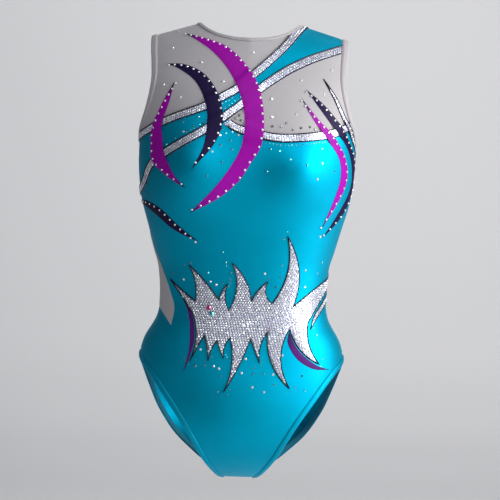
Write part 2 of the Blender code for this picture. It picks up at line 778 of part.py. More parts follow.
def make_fastener():
    """The hook on one end of the neck binding and the eye on the other, inside the nape."""
    place, normal = body_frame(BACK_Q, climb(math.pi, BACK_NECK[0][1] - 3.5))
    inside = place - normal * 2.6
    up = normal.cross(Vector((1, 0, 0)))
    across = Vector((1, 0, 0))

    def at(x, rise, depth):
        return inside + across * x + up * rise + normal * depth

    turns = [math.radians(d) for d in range(20, 180, 20)]
    eye = [at(8, 2.2, 0), at(2, 2.2, 0)]
    eye += [at(2 - 2 * math.sin(a), 2.2 * math.cos(a), 0) for a in turns]
    eye += [at(2, -2.2, 0), at(8, -2.2, 0)]
    add_wire("nape_eye", eye, 0.9)
    hook = [at(-9, 0, -1.5), at(1.5, 0, -1.5)]
    hook += [at(1.5 + 1.5 * math.sin(a), 0, -1.5 * math.cos(a)) for a in turns]
    hook += [at(1.5, 0, 1.5), at(-1.5, 0, 1.5)]
    add_wire("nape_hook", hook, 0.9)


def main():
    clear_scene()
    make_front_panels()
    make_back_panels()
    make_ring_tapes()
    make_neck_and_keyhole_tapes()
    lines = {
        "upper": trim_line(UPPER_LINE),
        "lower": trim_line(LOWER_LINE),
        "bust": trim_line(BUST_LINE),
    }
    make_trims(lines)
    make_appliques(lines)
    make_crotch_lining()
    make_fastener()


main()
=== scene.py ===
"""Looks of a sleeveless gymnastics leotard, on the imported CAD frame.

The cloth pieces are cut flat on a pattern plane (q, v) and wrapped onto the same body as the
CAD panels: q runs round the body from the centre front, v runs up it. Design lengths are
millimetres, and heights count up from the crotch.
"""

import json
import math
import random

import bpy
import numpy as np
from mathutils import Matrix, Vector
from mathutils.geometry import delaunay_2d_cdt

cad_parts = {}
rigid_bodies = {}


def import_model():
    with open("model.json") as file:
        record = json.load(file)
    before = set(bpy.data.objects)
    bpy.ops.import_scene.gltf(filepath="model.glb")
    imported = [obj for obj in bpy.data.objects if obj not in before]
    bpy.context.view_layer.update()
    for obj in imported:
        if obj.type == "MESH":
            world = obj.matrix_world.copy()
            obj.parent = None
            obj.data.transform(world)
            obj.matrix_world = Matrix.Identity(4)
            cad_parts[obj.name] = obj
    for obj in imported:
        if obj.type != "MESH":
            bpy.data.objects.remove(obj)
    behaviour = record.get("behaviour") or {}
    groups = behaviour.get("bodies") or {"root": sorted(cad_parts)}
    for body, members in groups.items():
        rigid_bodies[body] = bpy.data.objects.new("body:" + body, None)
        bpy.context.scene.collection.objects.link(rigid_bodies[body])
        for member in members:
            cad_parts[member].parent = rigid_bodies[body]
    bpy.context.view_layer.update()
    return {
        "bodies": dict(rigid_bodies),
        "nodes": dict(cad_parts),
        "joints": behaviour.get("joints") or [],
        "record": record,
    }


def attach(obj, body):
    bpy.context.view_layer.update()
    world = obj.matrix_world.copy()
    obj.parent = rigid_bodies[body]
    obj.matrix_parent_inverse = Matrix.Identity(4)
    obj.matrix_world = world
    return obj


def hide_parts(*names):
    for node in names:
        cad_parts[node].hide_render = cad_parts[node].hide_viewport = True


MM = 0.001
ORIGIN_HEIGHT = 625.0
ARC = 130.0
SIDE_Q = ARC * math.pi / 2
BACK_Q = ARC * math.pi
FAR = 900.0
OVERRUN = 60.0  # how far the cutters of the openings run on past their ends
SEAM_OVERRUN = 9

HALF_WIDTH = (
    (0, 150), (60, 150), (125, 149), (163, 145), (193, 138), (224, 121), (250, 116.5),
    (295, 119.5), (321, 127), (349, 135), (392, 147), (434, 152), (487, 154), (540, 170),
    (585, 180), (680, 180),
)
FRONT_DEPTH = (
    (0, 94), (60, 94), (120, 97), (163, 95), (207, 90), (250, 85), (295, 87), (349, 94),
    (392, 101), (434, 104), (487, 101), (540, 90), (585, 80), (680, 80),
)
BACK_DEPTH = (
    (0, 104), (60, 108), (120, 110), (163, 103), (207, 90), (250, 80), (295, 80), (349, 88),
    (434, 98), (487, 98), (540, 90), (585, 80), (680, 80),
)
ROUNDNESS = 2.3
BUMPS = (
    (-80, 430, 42, 46, -19), (80, 430, 42, 46, -19), (0, 105, 70, 60, -7),
    (-66, 92, 46, 52, 13), (66, 92, 46, 52, 13),
)
SHOULDER_START = 520.0
CROTCH_START = 90.0
NECK_POINT_HEIGHT, NECK_POINT_X, SHOULDER_SLOPE = 641.0, 70.0, 0.30

# Layers: (inner face, outer face) above the body. They are not quite the CAD's: here trims lie
# about 0.8 mm lower, and appliques 1.1 mm lower, or 1.8 where they cross a trim.
CLOTH = (0.1, 0.9)
BINDING = (-0.3, 1.9)
LEG_HEM = (-0.1, 1.9)
LEG_ELASTIC = (-1.5, -0.7)
LINING = (-2.0, -1.4)
TRIM = (1.0, 2.2)
APPLIQUE = (1.0, 1.8)
LIFT_OVER_TRIM = 1.5
LIFT_FULL, LIFT_NONE = 9.0, 15.0
EDGE_DROP = 0.45  # how far a cut edge rolls down
DROP_LIMIT = 0.6  # but no more than this share of its layer

GAP = 0.12
TAPE_GAP = 0.25
NECK_TAPE, ARM_TAPE, KEYHOLE_TAPE, HEM_TAPE = 7.0, 6.5, 5.0, 8.0
TRIM_WIDTHS = {"upper": (10.0, 16.0), "lower": (12.0, 14.5), "bust": (11.5, 13.0)}
PANEL_SPACING, TRIM_SPACING, APPLIQUE_SPACING = 7.5, 3.5, 5.0
EDGE_STEP, OUTLINE_STEP = 4.5, 3.0

FRONT_NECK = ((0, 615), (24, 617), (45, 622.5), (58, 629.5), (66, 636.5), (69, 640), (70, 641.5))
BACK_NECK = ((2.4, 622), (30, 624), (52, 630.5), (65, 637.5), (69, 640), (70, 641.5))
FRONT_ARM = ((140, 621), (138, 597), (136, 575), (135.5, 553), (139, 530), (145, 508), (151.5, 488))
BACK_ARM = ((140, 621), (134, 590), (131, 560), (134, 530), (143, 500), (151.5, 484))
ARM_BOTTOM = 476.0
FRONT_LEG = (
    (25, 0), (26.5, 1.5), (37, 13), (52, 34), (66, 58), (83, 85.5), (104, 115), (120.5, 137.5),
    (136, 156),
)
BACK_LEG = ((25, 0), (27, 1.5), (42, 9), (68, 26), (97, 52), (119, 86), (134, 124), (142, 150))
LEG_TOP = 168.0
KEYHOLE = ((2.4, 622), (3.6, 600), (12, 578), (21, 556), (19, 537), (9, 524), (0, 521))
LINING_FRONT = ((58, 84), (48, 70), (40, 55), (27, 32), (17, 13), (15, 4))
LINING_CROTCH = 14.0
LINING_RAILS, LINING_STEPS = 11, (26, 14)
TAPE_RAILS, KEYHOLE_RAILS = 9, 7
ELASTIC_EDGES = (HEM_TAPE - 1.5, 1.0)  # its two edges, inside the hem
LINING_BACK = ((15, 4), (17, 13), (25, 30), (33, 48))
BACK_YOKE_SEAM = ((138, 452), (110, 450), (50, 440), (0, 434), (-50, 440), (-110, 450), (-138, 452))
SEAM_SIDE = 452.0
# Centre lines of the silver trims on the front; they continue under the bindings.
TRIM_LINES = {
    "upper": (
        (-190, 452), (-150, 477), (-114, 495), (-58, 516), (-39, 527), (-13, 543), (6, 561),
        (29, 583), (48, 603), (63, 623), (74, 640), (80, 655),
    ),
    "lower": (
        (-190, 378), (-160, 390), (-143, 409), (-135, 429), (-127, 441), (-110, 452), (-85, 467),
        (-55, 485), (-29, 504), (-6, 522), (16, 542), (30, 553), (51, 568), (68, 578), (88, 588),
        (120, 601), (146, 611), (170, 618),
    ),
    "bust": (
        (-28, 495), (-18, 488), (-4, 483), (23, 477), (39, 474.5), (58, 474), (85, 477),
        (106, 481), (124, 487), (140, 496), (160, 508), (185, 520),
    ),
}

# Crescent appliques: each edge from the upper tip to the lower tip.
CRESCENTS = {
    "purple_crescent_large": (
        "purple_lycra",
        ((-90, 621), (-66, 615), (-31, 601), (-3, 574), (14, 544), (22, 505), (20, 465), (6, 439),
         (-10, 414), (-36, 391), (-75, 370)),
        ((-90, 621), (-71, 609), (-49, 592), (-28, 567), (-12, 535), (-4, 500), (-7, 464),
         (-21, 434), (-43, 404), (-75, 370)),
    ),
    "indigo_crescent": (
        "indigo_lycra",
        ((-113, 576), (-90, 575), (-65, 564), (-47, 544), (-36, 518), (-34, 493), (-45, 463),
         (-74, 428)),
        ((-113, 576), (-94, 567), (-73, 550), (-59, 523), (-55, 498), (-59, 461), (-74, 428)),
    ),
    "purple_crescent_small": (
        "purple_lycra",
        ((-102, 550), (-108, 523), (-116, 496), (-117, 478), (-112, 451), (-99, 422), (-82, 403)),
        ((-102, 550), (-118, 521), (-128, 496), (-133, 468), (-129, 441), (-109, 420), (-82, 403)),
    ),
    "indigo_side_spike": (
        "indigo_lycra",
        ((-64, 331), (-92, 353), (-118, 376), (-142, 388), (-160, 389)),
        ((-64, 331), (-98, 347), (-124, 368), (-142, 381), (-160, 389)),
    ),
    "purple_crescent_right": (
        "purple_lycra",
        ((73, 530), (90, 501), (111, 473), (127, 450), (130, 424), (122, 395), (105, 352)),
        ((73, 530), (96, 503), (115, 483), (133, 459), (140, 431), (134, 404), (105, 352)),
    ),
    "indigo_crescent_right": (
        "indigo_lycra",
        ((79, 543), (97, 519), (119, 491), (138, 467), (146, 443), (146, 414), (134, 385),
         (108, 341)),
        ((79, 543), (105, 522), (125, 500), (141, 476), (150.5, 453), (151, 430), (148, 404),
         (135, 373), (108, 341)),
    ),
    "silver_spike_right": (
        "silver_foil",
        ((103, 559), (119, 530), (130, 507), (143, 482), (152.6, 460), (158, 430), (158, 405)),
        ((103, 559), (121.5, 533), (135, 507), (147, 484), (153.4, 464), (164, 432), (158, 405)),
    ),
    "purple_accent_right": (
        "indigo_lycra",
        ((64.5, 210), (62.5, 198), (68, 184), (80, 170), (101, 159), (122, 158)),
        ((64.5, 210), (70, 197), (79, 183.5), (91.5, 172.5), (106, 163.3), (122, 158)),
    ),
    "purple_accent_left": (
        "indigo_lycra",
        ((-84, 254), (-77, 240), (-72.5, 224), (-71, 205), (-71.5, 185), (-74.5, 167), (-79, 150)),
        ((-84, 254), (-69.3, 231), (-65.2, 212), (-64.6, 203), (-65.6, 190), (-73, 164),
         (-79, 150)),
    ),
    "crest_side_right": (
        "silver_foil",
        ((94, 213), (98.5, 231), (108, 247), (119.5, 264), (138, 287), (165, 312)),
        ((94, 213), (103, 229), (114, 246), (124, 260), (142, 274), (165, 312)),
    ),
    "mesh_side_left": (
        "nude_mesh",
        ((-134, 345), (-124, 318), (-112, 290), (-101, 262), (-94, 238), (-98, 214)),
        ((-134, 345), (-138, 318), (-140, 290), (-132, 262), (-116, 238), (-98, 214)),
    ),
}
CROSSING = (
    "purple_crescent_large", "indigo_crescent", "purple_crescent_small", "purple_crescent_right",
    "indigo_crescent_right", "silver_spike_right",
)

# Waist crest: corners clockwise from the far left tip; the third number bows the next edge.
CREST = (
    (-101, 278, -1), (-65, 249, -4.5), (-75, 298, 2.5), (-33, 251, 2), (-21, 274, -4),
    (-19, 237, -8.5), (-16, 303, 6), (12, 250, 3), (34, 278, -6), (40, 248, -11), (59, 341, 12),
    (69, 244, 1), (128, 292, 0.5), (90, 222, -6.5), (107, 166, 7.4), (65, 214, -12),
    (67, 133, 10.5), (35, 209, -4.3), (25, 167, 0), (12, 199, 2.6), (-23, 126, -6.7),
    (-16, 200, -3.4), (-24, 172, 1), (-33, 196, -2.4), (-45, 167, -1), (-51, 202, -0.6),
    (-70, 166, -6), (-67.5, 231, -0.5),
)

NAP = random.Random(41)  # the one seeded source of small irregularities


# Curves. A line is an array of (q, v) rows, and a table or point list is any sequence of numbers.


def smooth_at(values, at, where):
    """The smooth curve through the values, each given its parameter, at many parameters."""
    values, at, where = (np.asarray(a, float) for a in (values, at, where))
    flat = values.reshape(len(values), -1)
    low = np.maximum(np.arange(len(at)) - 1, 0)
    high = np.minimum(np.arange(len(at)) + 1, len(at) - 1)
    slopes = (flat[high] - flat[low]) / (at[high] - at[low])[:, None]
    i = np.clip(np.searchsorted(at, where, side="right"), 1, len(at) - 1)
    span = (at[i] - at[i - 1])[:, None]
    s = (where - at[i - 1])[:, None] / span
    out = (1 + 2 * s) * (1 - s) ** 2 * flat[i - 1] + s * (1 - s) ** 2 * span * slopes[i - 1]
    out += s * s * (3 - 2 * s) * flat[i] + s * s * (s - 1) * span * slopes[i]
    return out.reshape((len(where),) + values.shape[1:])


def profile(table, height):
    heights = [row[0] for row in table]
    return smooth_at([row[1] for row in table], heights, np.clip(height, heights[0], heights[-1]))


def distances(points):
    steps = np.linalg.norm(np.diff(np.asarray(points, float), axis=0), axis=1)
    return np.concatenate([[0.0], np.cumsum(steps)])


def smooth_line(points, step):
    at = distances(points)
    count = max(2, round(at[-1] / step))
    return smooth_at(points, at, np.linspace(0, at[-1], count + 1))


def bowed_outline(corners, step):
    """A closed outline of arcs: a positive bow bends an edge to the left of its run."""
    outline = []
    for (x0, h0, bow), (x1, h1, _) in zip(corners, corners[1:] + corners[:1]):
        run = np.array((x1 - x0, h1 - h0), float)
        length = np.hypot(*run)
        side = np.array((-run[1], run[0])) / length
        count = max(2, round(length / step))
        for k in range(count):
            t = k / count
            outline.append(np.array((x0, h0)) + run * t + side * bow * 4 * t * (1 - t))
    return np.array(outline)


def sideways(line):
    """Unit vectors to the left of the line's run."""
    ends = np.arange(len(line))
    run = line[np.minimum(ends + 1, len(line) - 1)] - line[np.maximum(ends - 1, 0)]
    return np.stack([-run[:, 1], run[:, 0]], 1) / np.linalg.norm(run, axis=1)[:, None]


def shifted(line, distance):
    return line + sideways(line) * distance


# Body surface


def reach(theta, height):
    front = np.cos(theta) > 0
    depth = np.where(front, profile(FRONT_DEPTH, height), profile(BACK_DEPTH, height))
    across = (np.abs(np.sin(theta)) / profile(HALF_WIDTH, height)) ** ROUNDNESS
    along = (np.abs(np.cos(theta)) / depth) ** ROUNDNESS
    return (across + along) ** (-1 / ROUNDNESS)


def shoulder_height(theta):
    x = np.abs(reach(theta, np.full_like(theta, 680.0)) * np.sin(theta))
    return NECK_POINT_HEIGHT - SHOULDER_SLOPE * (x - NECK_POINT_X)


def body_points(places):
    q, v = places[:, 0], places[:, 1]
    theta = q / ARC
    span = shoulder_height(theta) - SHOULDER_START
    over = np.maximum(v - SHOULDER_START, 0) / span
    under = np.maximum(CROTCH_START - v, 0) / CROTCH_START
    height = np.where(over > 0, SHOULDER_START + span * np.sin(over), v)
    height = np.where(under > 0, CROTCH_START * (1 - np.sin(under)), height)
    fullness = np.cos(over) * np.cos(under)
    radius = reach(theta, height)
    x = radius * np.sin(theta)
    y = -radius * np.cos(theta)
    for bump_x, bump_height, spread_x, spread_height, push in BUMPS:
        facing = np.maximum(0.0, math.copysign(1, push) * -np.cos(theta)) ** 0.5
        far = ((x - bump_x) / spread_x) ** 2 + ((height - bump_height) / spread_height) ** 2
        y += push * facing * np.exp(-far)
    return np.stack([x, y * fullness, height], 1)


def body_frames(places):
    """Points and outward normals at pattern places."""
    places = np.asarray(places, float).reshape(-1, 2)
    dq, dv = np.array((0.5, 0)), np.array((0, 0.5))
    round_way = body_points(places + dq) - body_points(places - dq)
    up_way = body_points(places + dv) - body_points(places - dv)
    normal = np.cross(round_way, up_way)
    return body_points(places), normal / np.linalg.norm(normal, axis=1)[:, None]


def climb(theta, height):
    span = shoulder_height(theta) - SHOULDER_START
    high = SHOULDER_START + span * np.arcsin(np.clip((height - SHOULDER_START) / span, 0, 1))
    low = CROTCH_START * (1 - np.arcsin(np.clip((CROTCH_START - height) / CROTCH_START, 0, 1)))
    return np.where(height > SHOULDER_START, high, np.where(height < CROTCH_START, low, height))


def on_body(points, back=False):
    """Pattern places of (x, height) points; past the side, the front's x runs on round."""
    points = np.asarray(points, float)
    x, height = points[:, 0], points[:, 1]
    half = profile(HALF_WIDTH, height)
    low = np.full(len(x), math.pi / 2 if back else 0.0)
    high = low + math.pi / 2
    for _ in range(40):
        theta = (low + high) / 2
        short = (reach(theta, height) * np.sin(theta) < np.abs(x)) != back
        low, high = np.where(short, theta, low), np.where(short, high, theta)
    if back:
        q = np.where(x >= 0, theta * ARC, 2 * BACK_Q - theta * ARC)
        return np.stack([q, climb(theta, height)], 1)
    round_side = np.abs(x) >= half
    theta = np.where(round_side, math.pi / 2, theta)
    q = np.where(round_side, SIDE_Q + np.abs(x) - half, theta * ARC)
    return np.stack([np.copysign(q, x), climb(theta, height)], 1)


def shoulder_v(q):
    return climb(np.atleast_1d(q) / ARC, np.array([2 * NECK_POINT_HEIGHT]))[0]


# Cutting cloth


def resampled(polygon, spacing):
    after = np.roll(polygon, -1, axis=0)
    if np.sum(polygon[:, 0] * after[:, 1] - polygon[:, 1] * after[:, 0]) < 0:
        polygon = polygon[::-1]
        after = np.roll(polygon, -1, axis=0)
    out = []
    for a, b in zip(polygon, after):
        count = max(1, math.ceil(np.hypot(*(b - a)) / spacing))
        out += [a + (b - a) * k / count for k in range(count)]
    return np.array(out)


def edge_distance(points, polygons):
    """How far each point is from the nearest edge of the closed polygons."""
    points = np.asarray(points, float).reshape(-1, 2)
    nearest = np.full(len(points), 1e9)
    for polygon in polygons:
        for a, b in zip(polygon, np.roll(polygon, -1, axis=0)):
            run = b - a
            t = np.clip((points - a) @ run / max(run @ run, 1e-9), 0, 1)
            nearest = np.minimum(nearest, np.linalg.norm(points - a - t[:, None] * run, axis=1))
    return nearest


def within(points, polygon):
    """Whether each point lies inside the polygon."""
    points = np.asarray(points, float).reshape(-1, 2)
    inside = np.zeros(len(points), bool)
    for a, b in zip(polygon, np.roll(polygon, -1, axis=0)):
        crosses = (a[1] > points[:, 1]) != (b[1] > points[:, 1])
        rise = b[1] - a[1] if b[1] != a[1] else 1e-9
        inside ^= crosses & (points[:, 0] < a[0] + (points[:, 1] - a[1]) * (b[0] - a[0]) / rise)
    return inside


def clear_of(points, polygons):
    """Whether each point lies outside all of the polygons."""
    return ~np.any([within(points, polygon) for polygon in polygons], axis=0)


def filling_points(polygons, spacing):
    low, high = polygons[0].min(0), polygons[0].max(0)
    row_height = spacing * math.sqrt(3) / 2
    grid = []
    for row in range(1, math.ceil((high[1] - low[1]) / row_height)):
        across = low[0] + np.arange(math.ceil((high[0] - low[0]) / spacing)) * spacing
        shift = row % 2 / 2 * spacing
        grid.append(np.stack([across + shift, np.full(len(across), low[1] + row * row_height)], 1))
    if not grid:
        return np.empty((0, 2))
    grid = np.concatenate(grid)
    grid = grid[within(grid, polygons[0])]
    return grid[edge_distance(grid, polygons) > spacing * 0.45] if len(grid) else grid


def largest_piece(triangles):
    leader = {k: k for triangle in triangles for k in triangle}

    def find(k):
        while leader[k] != k:
            leader[k] = leader[leader[k]]
            k = leader[k]
        return k

    for a, b, c in triangles:
        leader[find(b)] = find(a)
        leader[find(c)] = find(a)
    pieces = {}
    for triangle in triangles:
        pieces.setdefault(find(triangle[0]), []).append(triangle)
    return max(pieces.values(), key=len)


def cut_cloth(keep, cut, spacing, outline_spacing=None):
    """Places and triangles of what lies inside every polygon of keep and outside all of cut."""
    polygons = [resampled(p, outline_spacing or spacing) for p in keep + cut]
    places, faces = [], []
    for polygon in polygons:
        faces.append(list(range(len(places), len(places) + len(polygon))))
        places += [Vector(p) for p in polygon]
    places += [Vector(p) for p in filling_points(polygons, spacing)]
    places, _, triangles, _, _, origins = delaunay_2d_cdt(places, [], faces, 1, 1e-4)
    wanted = set(range(len(keep)))
    kept = largest_piece([t for t, origin in zip(triangles, origins) if set(origin) == wanted])
    used = sorted({k for triangle in kept for k in triangle})
    number = {old: new for new, old in enumerate(used)}
    return np.array([places[k] for k in used]), [[number[k] for k in t] for t in kept]


# Making pieces

SHARP_ANGLE = math.radians(50)
UV_PER_METRE = 10


def add_mesh(name, material, vertices, faces, places=None, tips=None):
    mesh = bpy.data.meshes.new(name)
    vertices = (np.asarray(vertices, float) - (0, 0, ORIGIN_HEIGHT)) * MM
    mesh.from_pydata([tuple(v) for v in vertices], [], faces)
    for one in material if isinstance(material, (list, tuple)) else [material]:
        mesh.materials.append(MATERIALS[one])
    mesh.shade_smooth()
    mesh.set_sharp_from_angle(angle=SHARP_ANGLE)
    if places is not None:
        layer = mesh.uv_layers.new(name="cloth")
        index = np.empty(len(mesh.loops), int)
        mesh.loops.foreach_get("vertex_index", index)
        layer.data.foreach_set("uv", (np.asarray(places)[index] * MM * UV_PER_METRE).ravel())
    if tips is not None:
        shade = mesh.attributes.new("tip", "FLOAT", "POINT")
        shade.data.foreach_set("value", np.asarray(tips, float))
    thing = bpy.data.objects.new(name, mesh)
    bpy.context.scene.collection.objects.link(thing)
    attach(thing, "root")
    return thing


def add_cloth(node, material, cloth, layer, lift=None, tips=None, sides=None):
    """The cut cloth wrapped onto the body as one closed sheet, standing for its CAD node."""
    places, triangles = cloth
    points, normals = body_frames(places)
    edges = {(a, b) for t in triangles for a, b in zip(t, t[1:] + t[:1])}
    rim = [(a, b) for a, b in sorted(edges) if (b, a) not in edges]
    extra = lift(places) if lift else np.zeros(len(places))
    top = np.full(len(places), layer[1])
    top[[a for a, _ in rim]] -= min(EDGE_DROP, (layer[1] - layer[0]) * DROP_LIMIT)
    inner = points + normals * (layer[0] + extra)[:, None]
    outer = points + normals * (top + extra)[:, None]
    count = len(places)
    faces = [tuple(count + k for k in t) for t in triangles]
    faces += [tuple(reversed(t)) for t in triangles]
    faces += [(a, b, count + b, count + a) for a, b in rim]
    both = np.concatenate([places, places])
    shade = None if tips is None else np.concatenate([tips, tips])
    vertices = np.concatenate([inner, outer])
    thing = add_mesh(node + "_cloth", material, vertices, faces, both, shade)
    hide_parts(node)
    corners = points[np.array(triangles)]
    doubled = np.cross(corners[:, 1] - corners[:, 0], corners[:, 2] - corners[:, 0])
    area = np.linalg.norm(doubled, axis=1).sum() / 2 * MM * MM
    declare(thing, sides or smallest_rectangle(laid_flat(places)), area, material)


def laid_flat(places):
    """The piece laid flat, in metres: distances round the body and up it, through its middle."""
    low, high = places.min(axis=0), places.max(axis=0)
    laid = []
    for axis in (0, 1):
        line = np.tile((low + high) / 2, (60, 1))
        line[:, axis] = np.linspace(low[axis], high[axis], 60)
        laid.append(np.interp(places[:, axis], line[:, axis], distances(body_points(line))) * MM)
    return np.stack(laid, 1)


def smallest_rectangle(flat):
    """The short and the long side of the smallest rectangle round the flat piece, at any angle."""
    found = []
    for turn in np.radians(np.arange(90)):
        c, s = np.cos(turn), np.sin(turn)
        found.append(np.ptp(flat @ np.array([[c, -s], [s, c]]), axis=0))
    return sorted(min(found, key=np.prod))


CUT_SHARE = 0.9  # an assumption: stretch cloth is cut to this share of its worn size each way
LEAST_WIDTH = 0.0101  # the narrowest sheet that can be declared, in metres
# the least share of its rectangle that a declared sheet can fill
LEAST_FILL = 0.301  # the least share of its printed rectangle that a sheet's cut area fills


def declare(thing, sides, area, material):
    """The size a sheet was cut to. The print gives its true sides, which the limits can change."""
    share = 1.0 if material == "silver_foil" else CUT_SHARE
    cut = area * share * share
    true_width, length = (side * share for side in sides)
    width = min(max(true_width, LEAST_WIDTH), cut / (LEAST_FILL * length))
    note = "as declared" if width == true_width else f"declared {width * 1e3:.1f} wide"
    true_size = f"{true_width * 1e3:.1f} x {length * 1e3:.1f} mm, {cut * 1e4:.1f} cm2"
    print(f"CUT {thing.name} {true_size}, {note}")


def add_band(node, material, rails, layer, closed=False):
    """A tape with rounded edges over rails of places, from its left edge to its right edge."""
    across, along = len(rails), len(rails[0])
    share = np.linspace(-1, 1, across)
    arch = np.sqrt(1 - 0.98 * np.abs(share) ** 3)
    crown = layer[0] + (layer[1] - layer[0]) * (0.35 + 0.65 * arch)
    frames = [body_frames(rail) for rail in rails]
    bottom = [p + n * layer[0] for p, n in frames]
    top = [p + n * height for (p, n), height in zip(frames, crown)]
    count = across * along
    faces = []
    last = along if closed else along - 1
    for j in range(across - 1):
        for i in range(last):
            a, b = j * along + i, j * along + (i + 1) % along
            faces.append((a, b, b + along, a + along))
            faces.append(tuple(count + k for k in (a + along, b + along, b, a)))
    for i in range(last):
        a, b = i, (i + 1) % along
        faces.append((b, a, a + count, b + count))
        a, b = a + count - along, b + count - along
        faces.append((a, b, b + count, a + count))
    if not closed:
        for j in range(across - 1):
            a = j * along
            faces.append((a, a + along, a + along + count, a + count))
            a += along - 1
            faces.append((a + along, a, a + count, a + along + count))
    vertices = np.concatenate(bottom + top)
    middle = frames[across // 2][0]
    run = distances(middle)
    wide = np.linalg.norm(frames[0][0] - frames[-1][0], axis=1).mean()
    rows = [np.stack([np.full(along, wide * j / (across - 1)), run], 1) for j in range(across)]
    thing = add_mesh(node + "_cloth", material, vertices, faces, np.concatenate(rows * 2))
    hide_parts(node)
    length = (run[-1] + (np.linalg.norm(middle[0] - middle[-1]) if closed else 0)) * MM
    cut = (wide + layer[1] - layer[0]) * MM  # the tape wraps over its own edges
    declare(thing, (cut, length), cut * length, material)


def blended(rails, count):
    """count rails spaced evenly between the first and the last."""
    first, last = rails
    return [first + (last - first) * k / (count - 1) for k in range(count)]


def reflected(line, centre=0.0):
    return np.stack([2 * centre - line[:, 0], line[:, 1]], 1)


# Openings


def two_edges(front, side, back):
    front, back = on_body(front), on_body(back, True)
    points = np.concatenate([front, [side], back[::-1]])
    at = distances(points)
    middle = at[len(front)]
    edges = []
    for start, end in ((0.0, middle), (at[-1], middle)):
        count = max(2, round(abs(end - start) / EDGE_STEP))
        edges.append(smooth_at(points, at, np.linspace(start, end, count + 1)))
    return edges


def inside_edge(line, distance, left, start_step, end_step):
    moved = shifted(line, distance if left else -distance)
    for end, step in ((0, start_step), (-1, end_step)):
        moved[end] = line[end] + np.array(step) * distance
        if line[end][1] > shoulder_v(line[end][0]) - 1:
            moved[end][1] = shoulder_v(moved[end][0])
    return moved


def arm_edges(distance):
    front, back = two_edges(FRONT_ARM, (SIDE_Q, ARM_BOTTOM), BACK_ARM)
    front = inside_edge(front, distance, False, (-1, 0), (0, -1))
    return front, inside_edge(back, distance, True, (1, 0), (0, -1))


def leg_edges(distance):
    front, back = two_edges(FRONT_LEG, (SIDE_Q, LEG_TOP), BACK_LEG)
    front = inside_edge(front, distance, True, (-1, 0), (0, 1))
    return front, inside_edge(back, distance, False, (1, 0), (0, 1))


def neck_edges(distance):
    half = smooth_line(on_body(FRONT_NECK), EDGE_STEP)
    whole = np.concatenate([reflected(half[:0:-1]), half])
    back = smooth_line(on_body(BACK_NECK, True), EDGE_STEP)
    whole = inside_edge(whole, distance, False, (-1, 0), (1, 0))
    return whole, inside_edge(back, distance, True, (0, -1), (-1, 0))


def cut_side(line, far):
    return np.concatenate([line, np.array(far, float)])


def opening_cutters(back):
    centre, pick, beyond = (BACK_Q, 1, -OVERRUN) if back else (0.0, 0, OVERRUN)
    cuts = []
    for edges_at, width, way in ((arm_edges, ARM_TAPE, 1), (leg_edges, HEM_TAPE, -1)):
        edge = edges_at(width + TAPE_GAP)[pick]
        first, last = edge[0] + (0, way * OVERRUN), edge[-1] + (beyond, 0)
        cuts.append(np.concatenate([[first], edge, [last, (last[0], way * FAR)]]))
    neck = neck_edges(NECK_TAPE + TAPE_GAP)[pick]
    if back:
        neck = np.concatenate([reflected(neck, BACK_Q)[::-1], neck])
        neck = neck[np.argsort(neck[:, 0])]
    neck_cut = cut_side(neck, [(neck[-1][0], FAR), (neck[0][0], FAR)])
    return cuts + [neck_cut] + [reflected(cut, centre) for cut in cuts]


def half_body(centre):
    left, right = centre - SIDE_Q + GAP, centre + SIDE_Q - GAP
    low = CROTCH_START * (1 - math.pi / 2) + GAP
    q = np.linspace(right, left, 61)
    top = climb(q / ARC, np.full(61, 2 * NECK_POINT_HEIGHT)) - GAP
    return np.concatenate([[(left, low), (right, low)], np.stack([q, top], 1)])


# Panels


def smooth_line_on(points, step, back=False):
    return on_body(smooth_line(points, step), back)


def area_below(line, distance):
    line = shifted(line, -distance)
    return cut_side(line, [(FAR, line[-1][1]), (FAR, -FAR), (-FAR, -FAR), (-FAR, line[0][1])])


def below_bust_seam(distance):
    lower, bust = LINES["lower"], LINES["bust"]
    return area_below(np.concatenate([lower[lower[:, 0] < bust[0][0] - 3], bust[1:]]), distance)


def make_front_panels():
    front, holes = half_body(0.0), opening_cutters(False)
    upper, lower = LINES["upper"], LINES["lower"]
    for node, material, keep, cut in (
        ("front_body_panel", "teal_lycra", [below_bust_seam(GAP)], []),
        ("front_band_panel", "teal_lycra", [area_below(upper, GAP)], [area_below(lower, -GAP)]),
        ("front_mesh_inset", "nude_mesh", [area_below(lower, GAP)], [below_bust_seam(-GAP)]),
        ("front_mesh_yoke", "nude_mesh", [], [area_below(upper, -GAP)]),
    ):
        cloth = cut_cloth([front] + keep, cut + holes, PANEL_SPACING)
        add_cloth(node, material, cloth, CLOTH)


def keyhole_edge(distance):
    half = shifted(smooth_line_on(KEYHOLE, 4, True), -distance)
    half[-1][0] = BACK_Q
    return np.concatenate([half, reflected(half[:-1], BACK_Q)[::-1]])


def back_seam():
    seam = smooth_line_on(BACK_YOKE_SEAM, 6, True)
    out = SIDE_Q + SEAM_OVERRUN
    return np.concatenate([[(BACK_Q - out, SEAM_SIDE)], seam, [(BACK_Q + out, SEAM_SIDE)]])


def make_back_panels():
    back, holes, seam = half_body(BACK_Q), opening_cutters(True), back_seam()
    below = cut_side(shifted(seam, -GAP), [(seam[-1][0], -FAR), (seam[0][0], -FAR)])
    above = cut_side(shifted(seam, GAP), [(seam[-1][0], FAR), (seam[0][0], FAR)])
    cloth = cut_cloth([back, below], holes, PANEL_SPACING)
    add_cloth("back_body_panel", "teal_lycra", cloth, CLOTH)
    edge = keyhole_edge(KEYHOLE_TAPE + TAPE_GAP)
    keyhole = np.concatenate([[(edge[0][0], FAR)], edge, [(edge[-1][0], FAR)]])
    cloth = cut_cloth([back, above], holes + [keyhole], PANEL_SPACING)
    add_cloth("back_mesh_yoke", "nude_mesh", cloth, CLOTH)


# Tapes


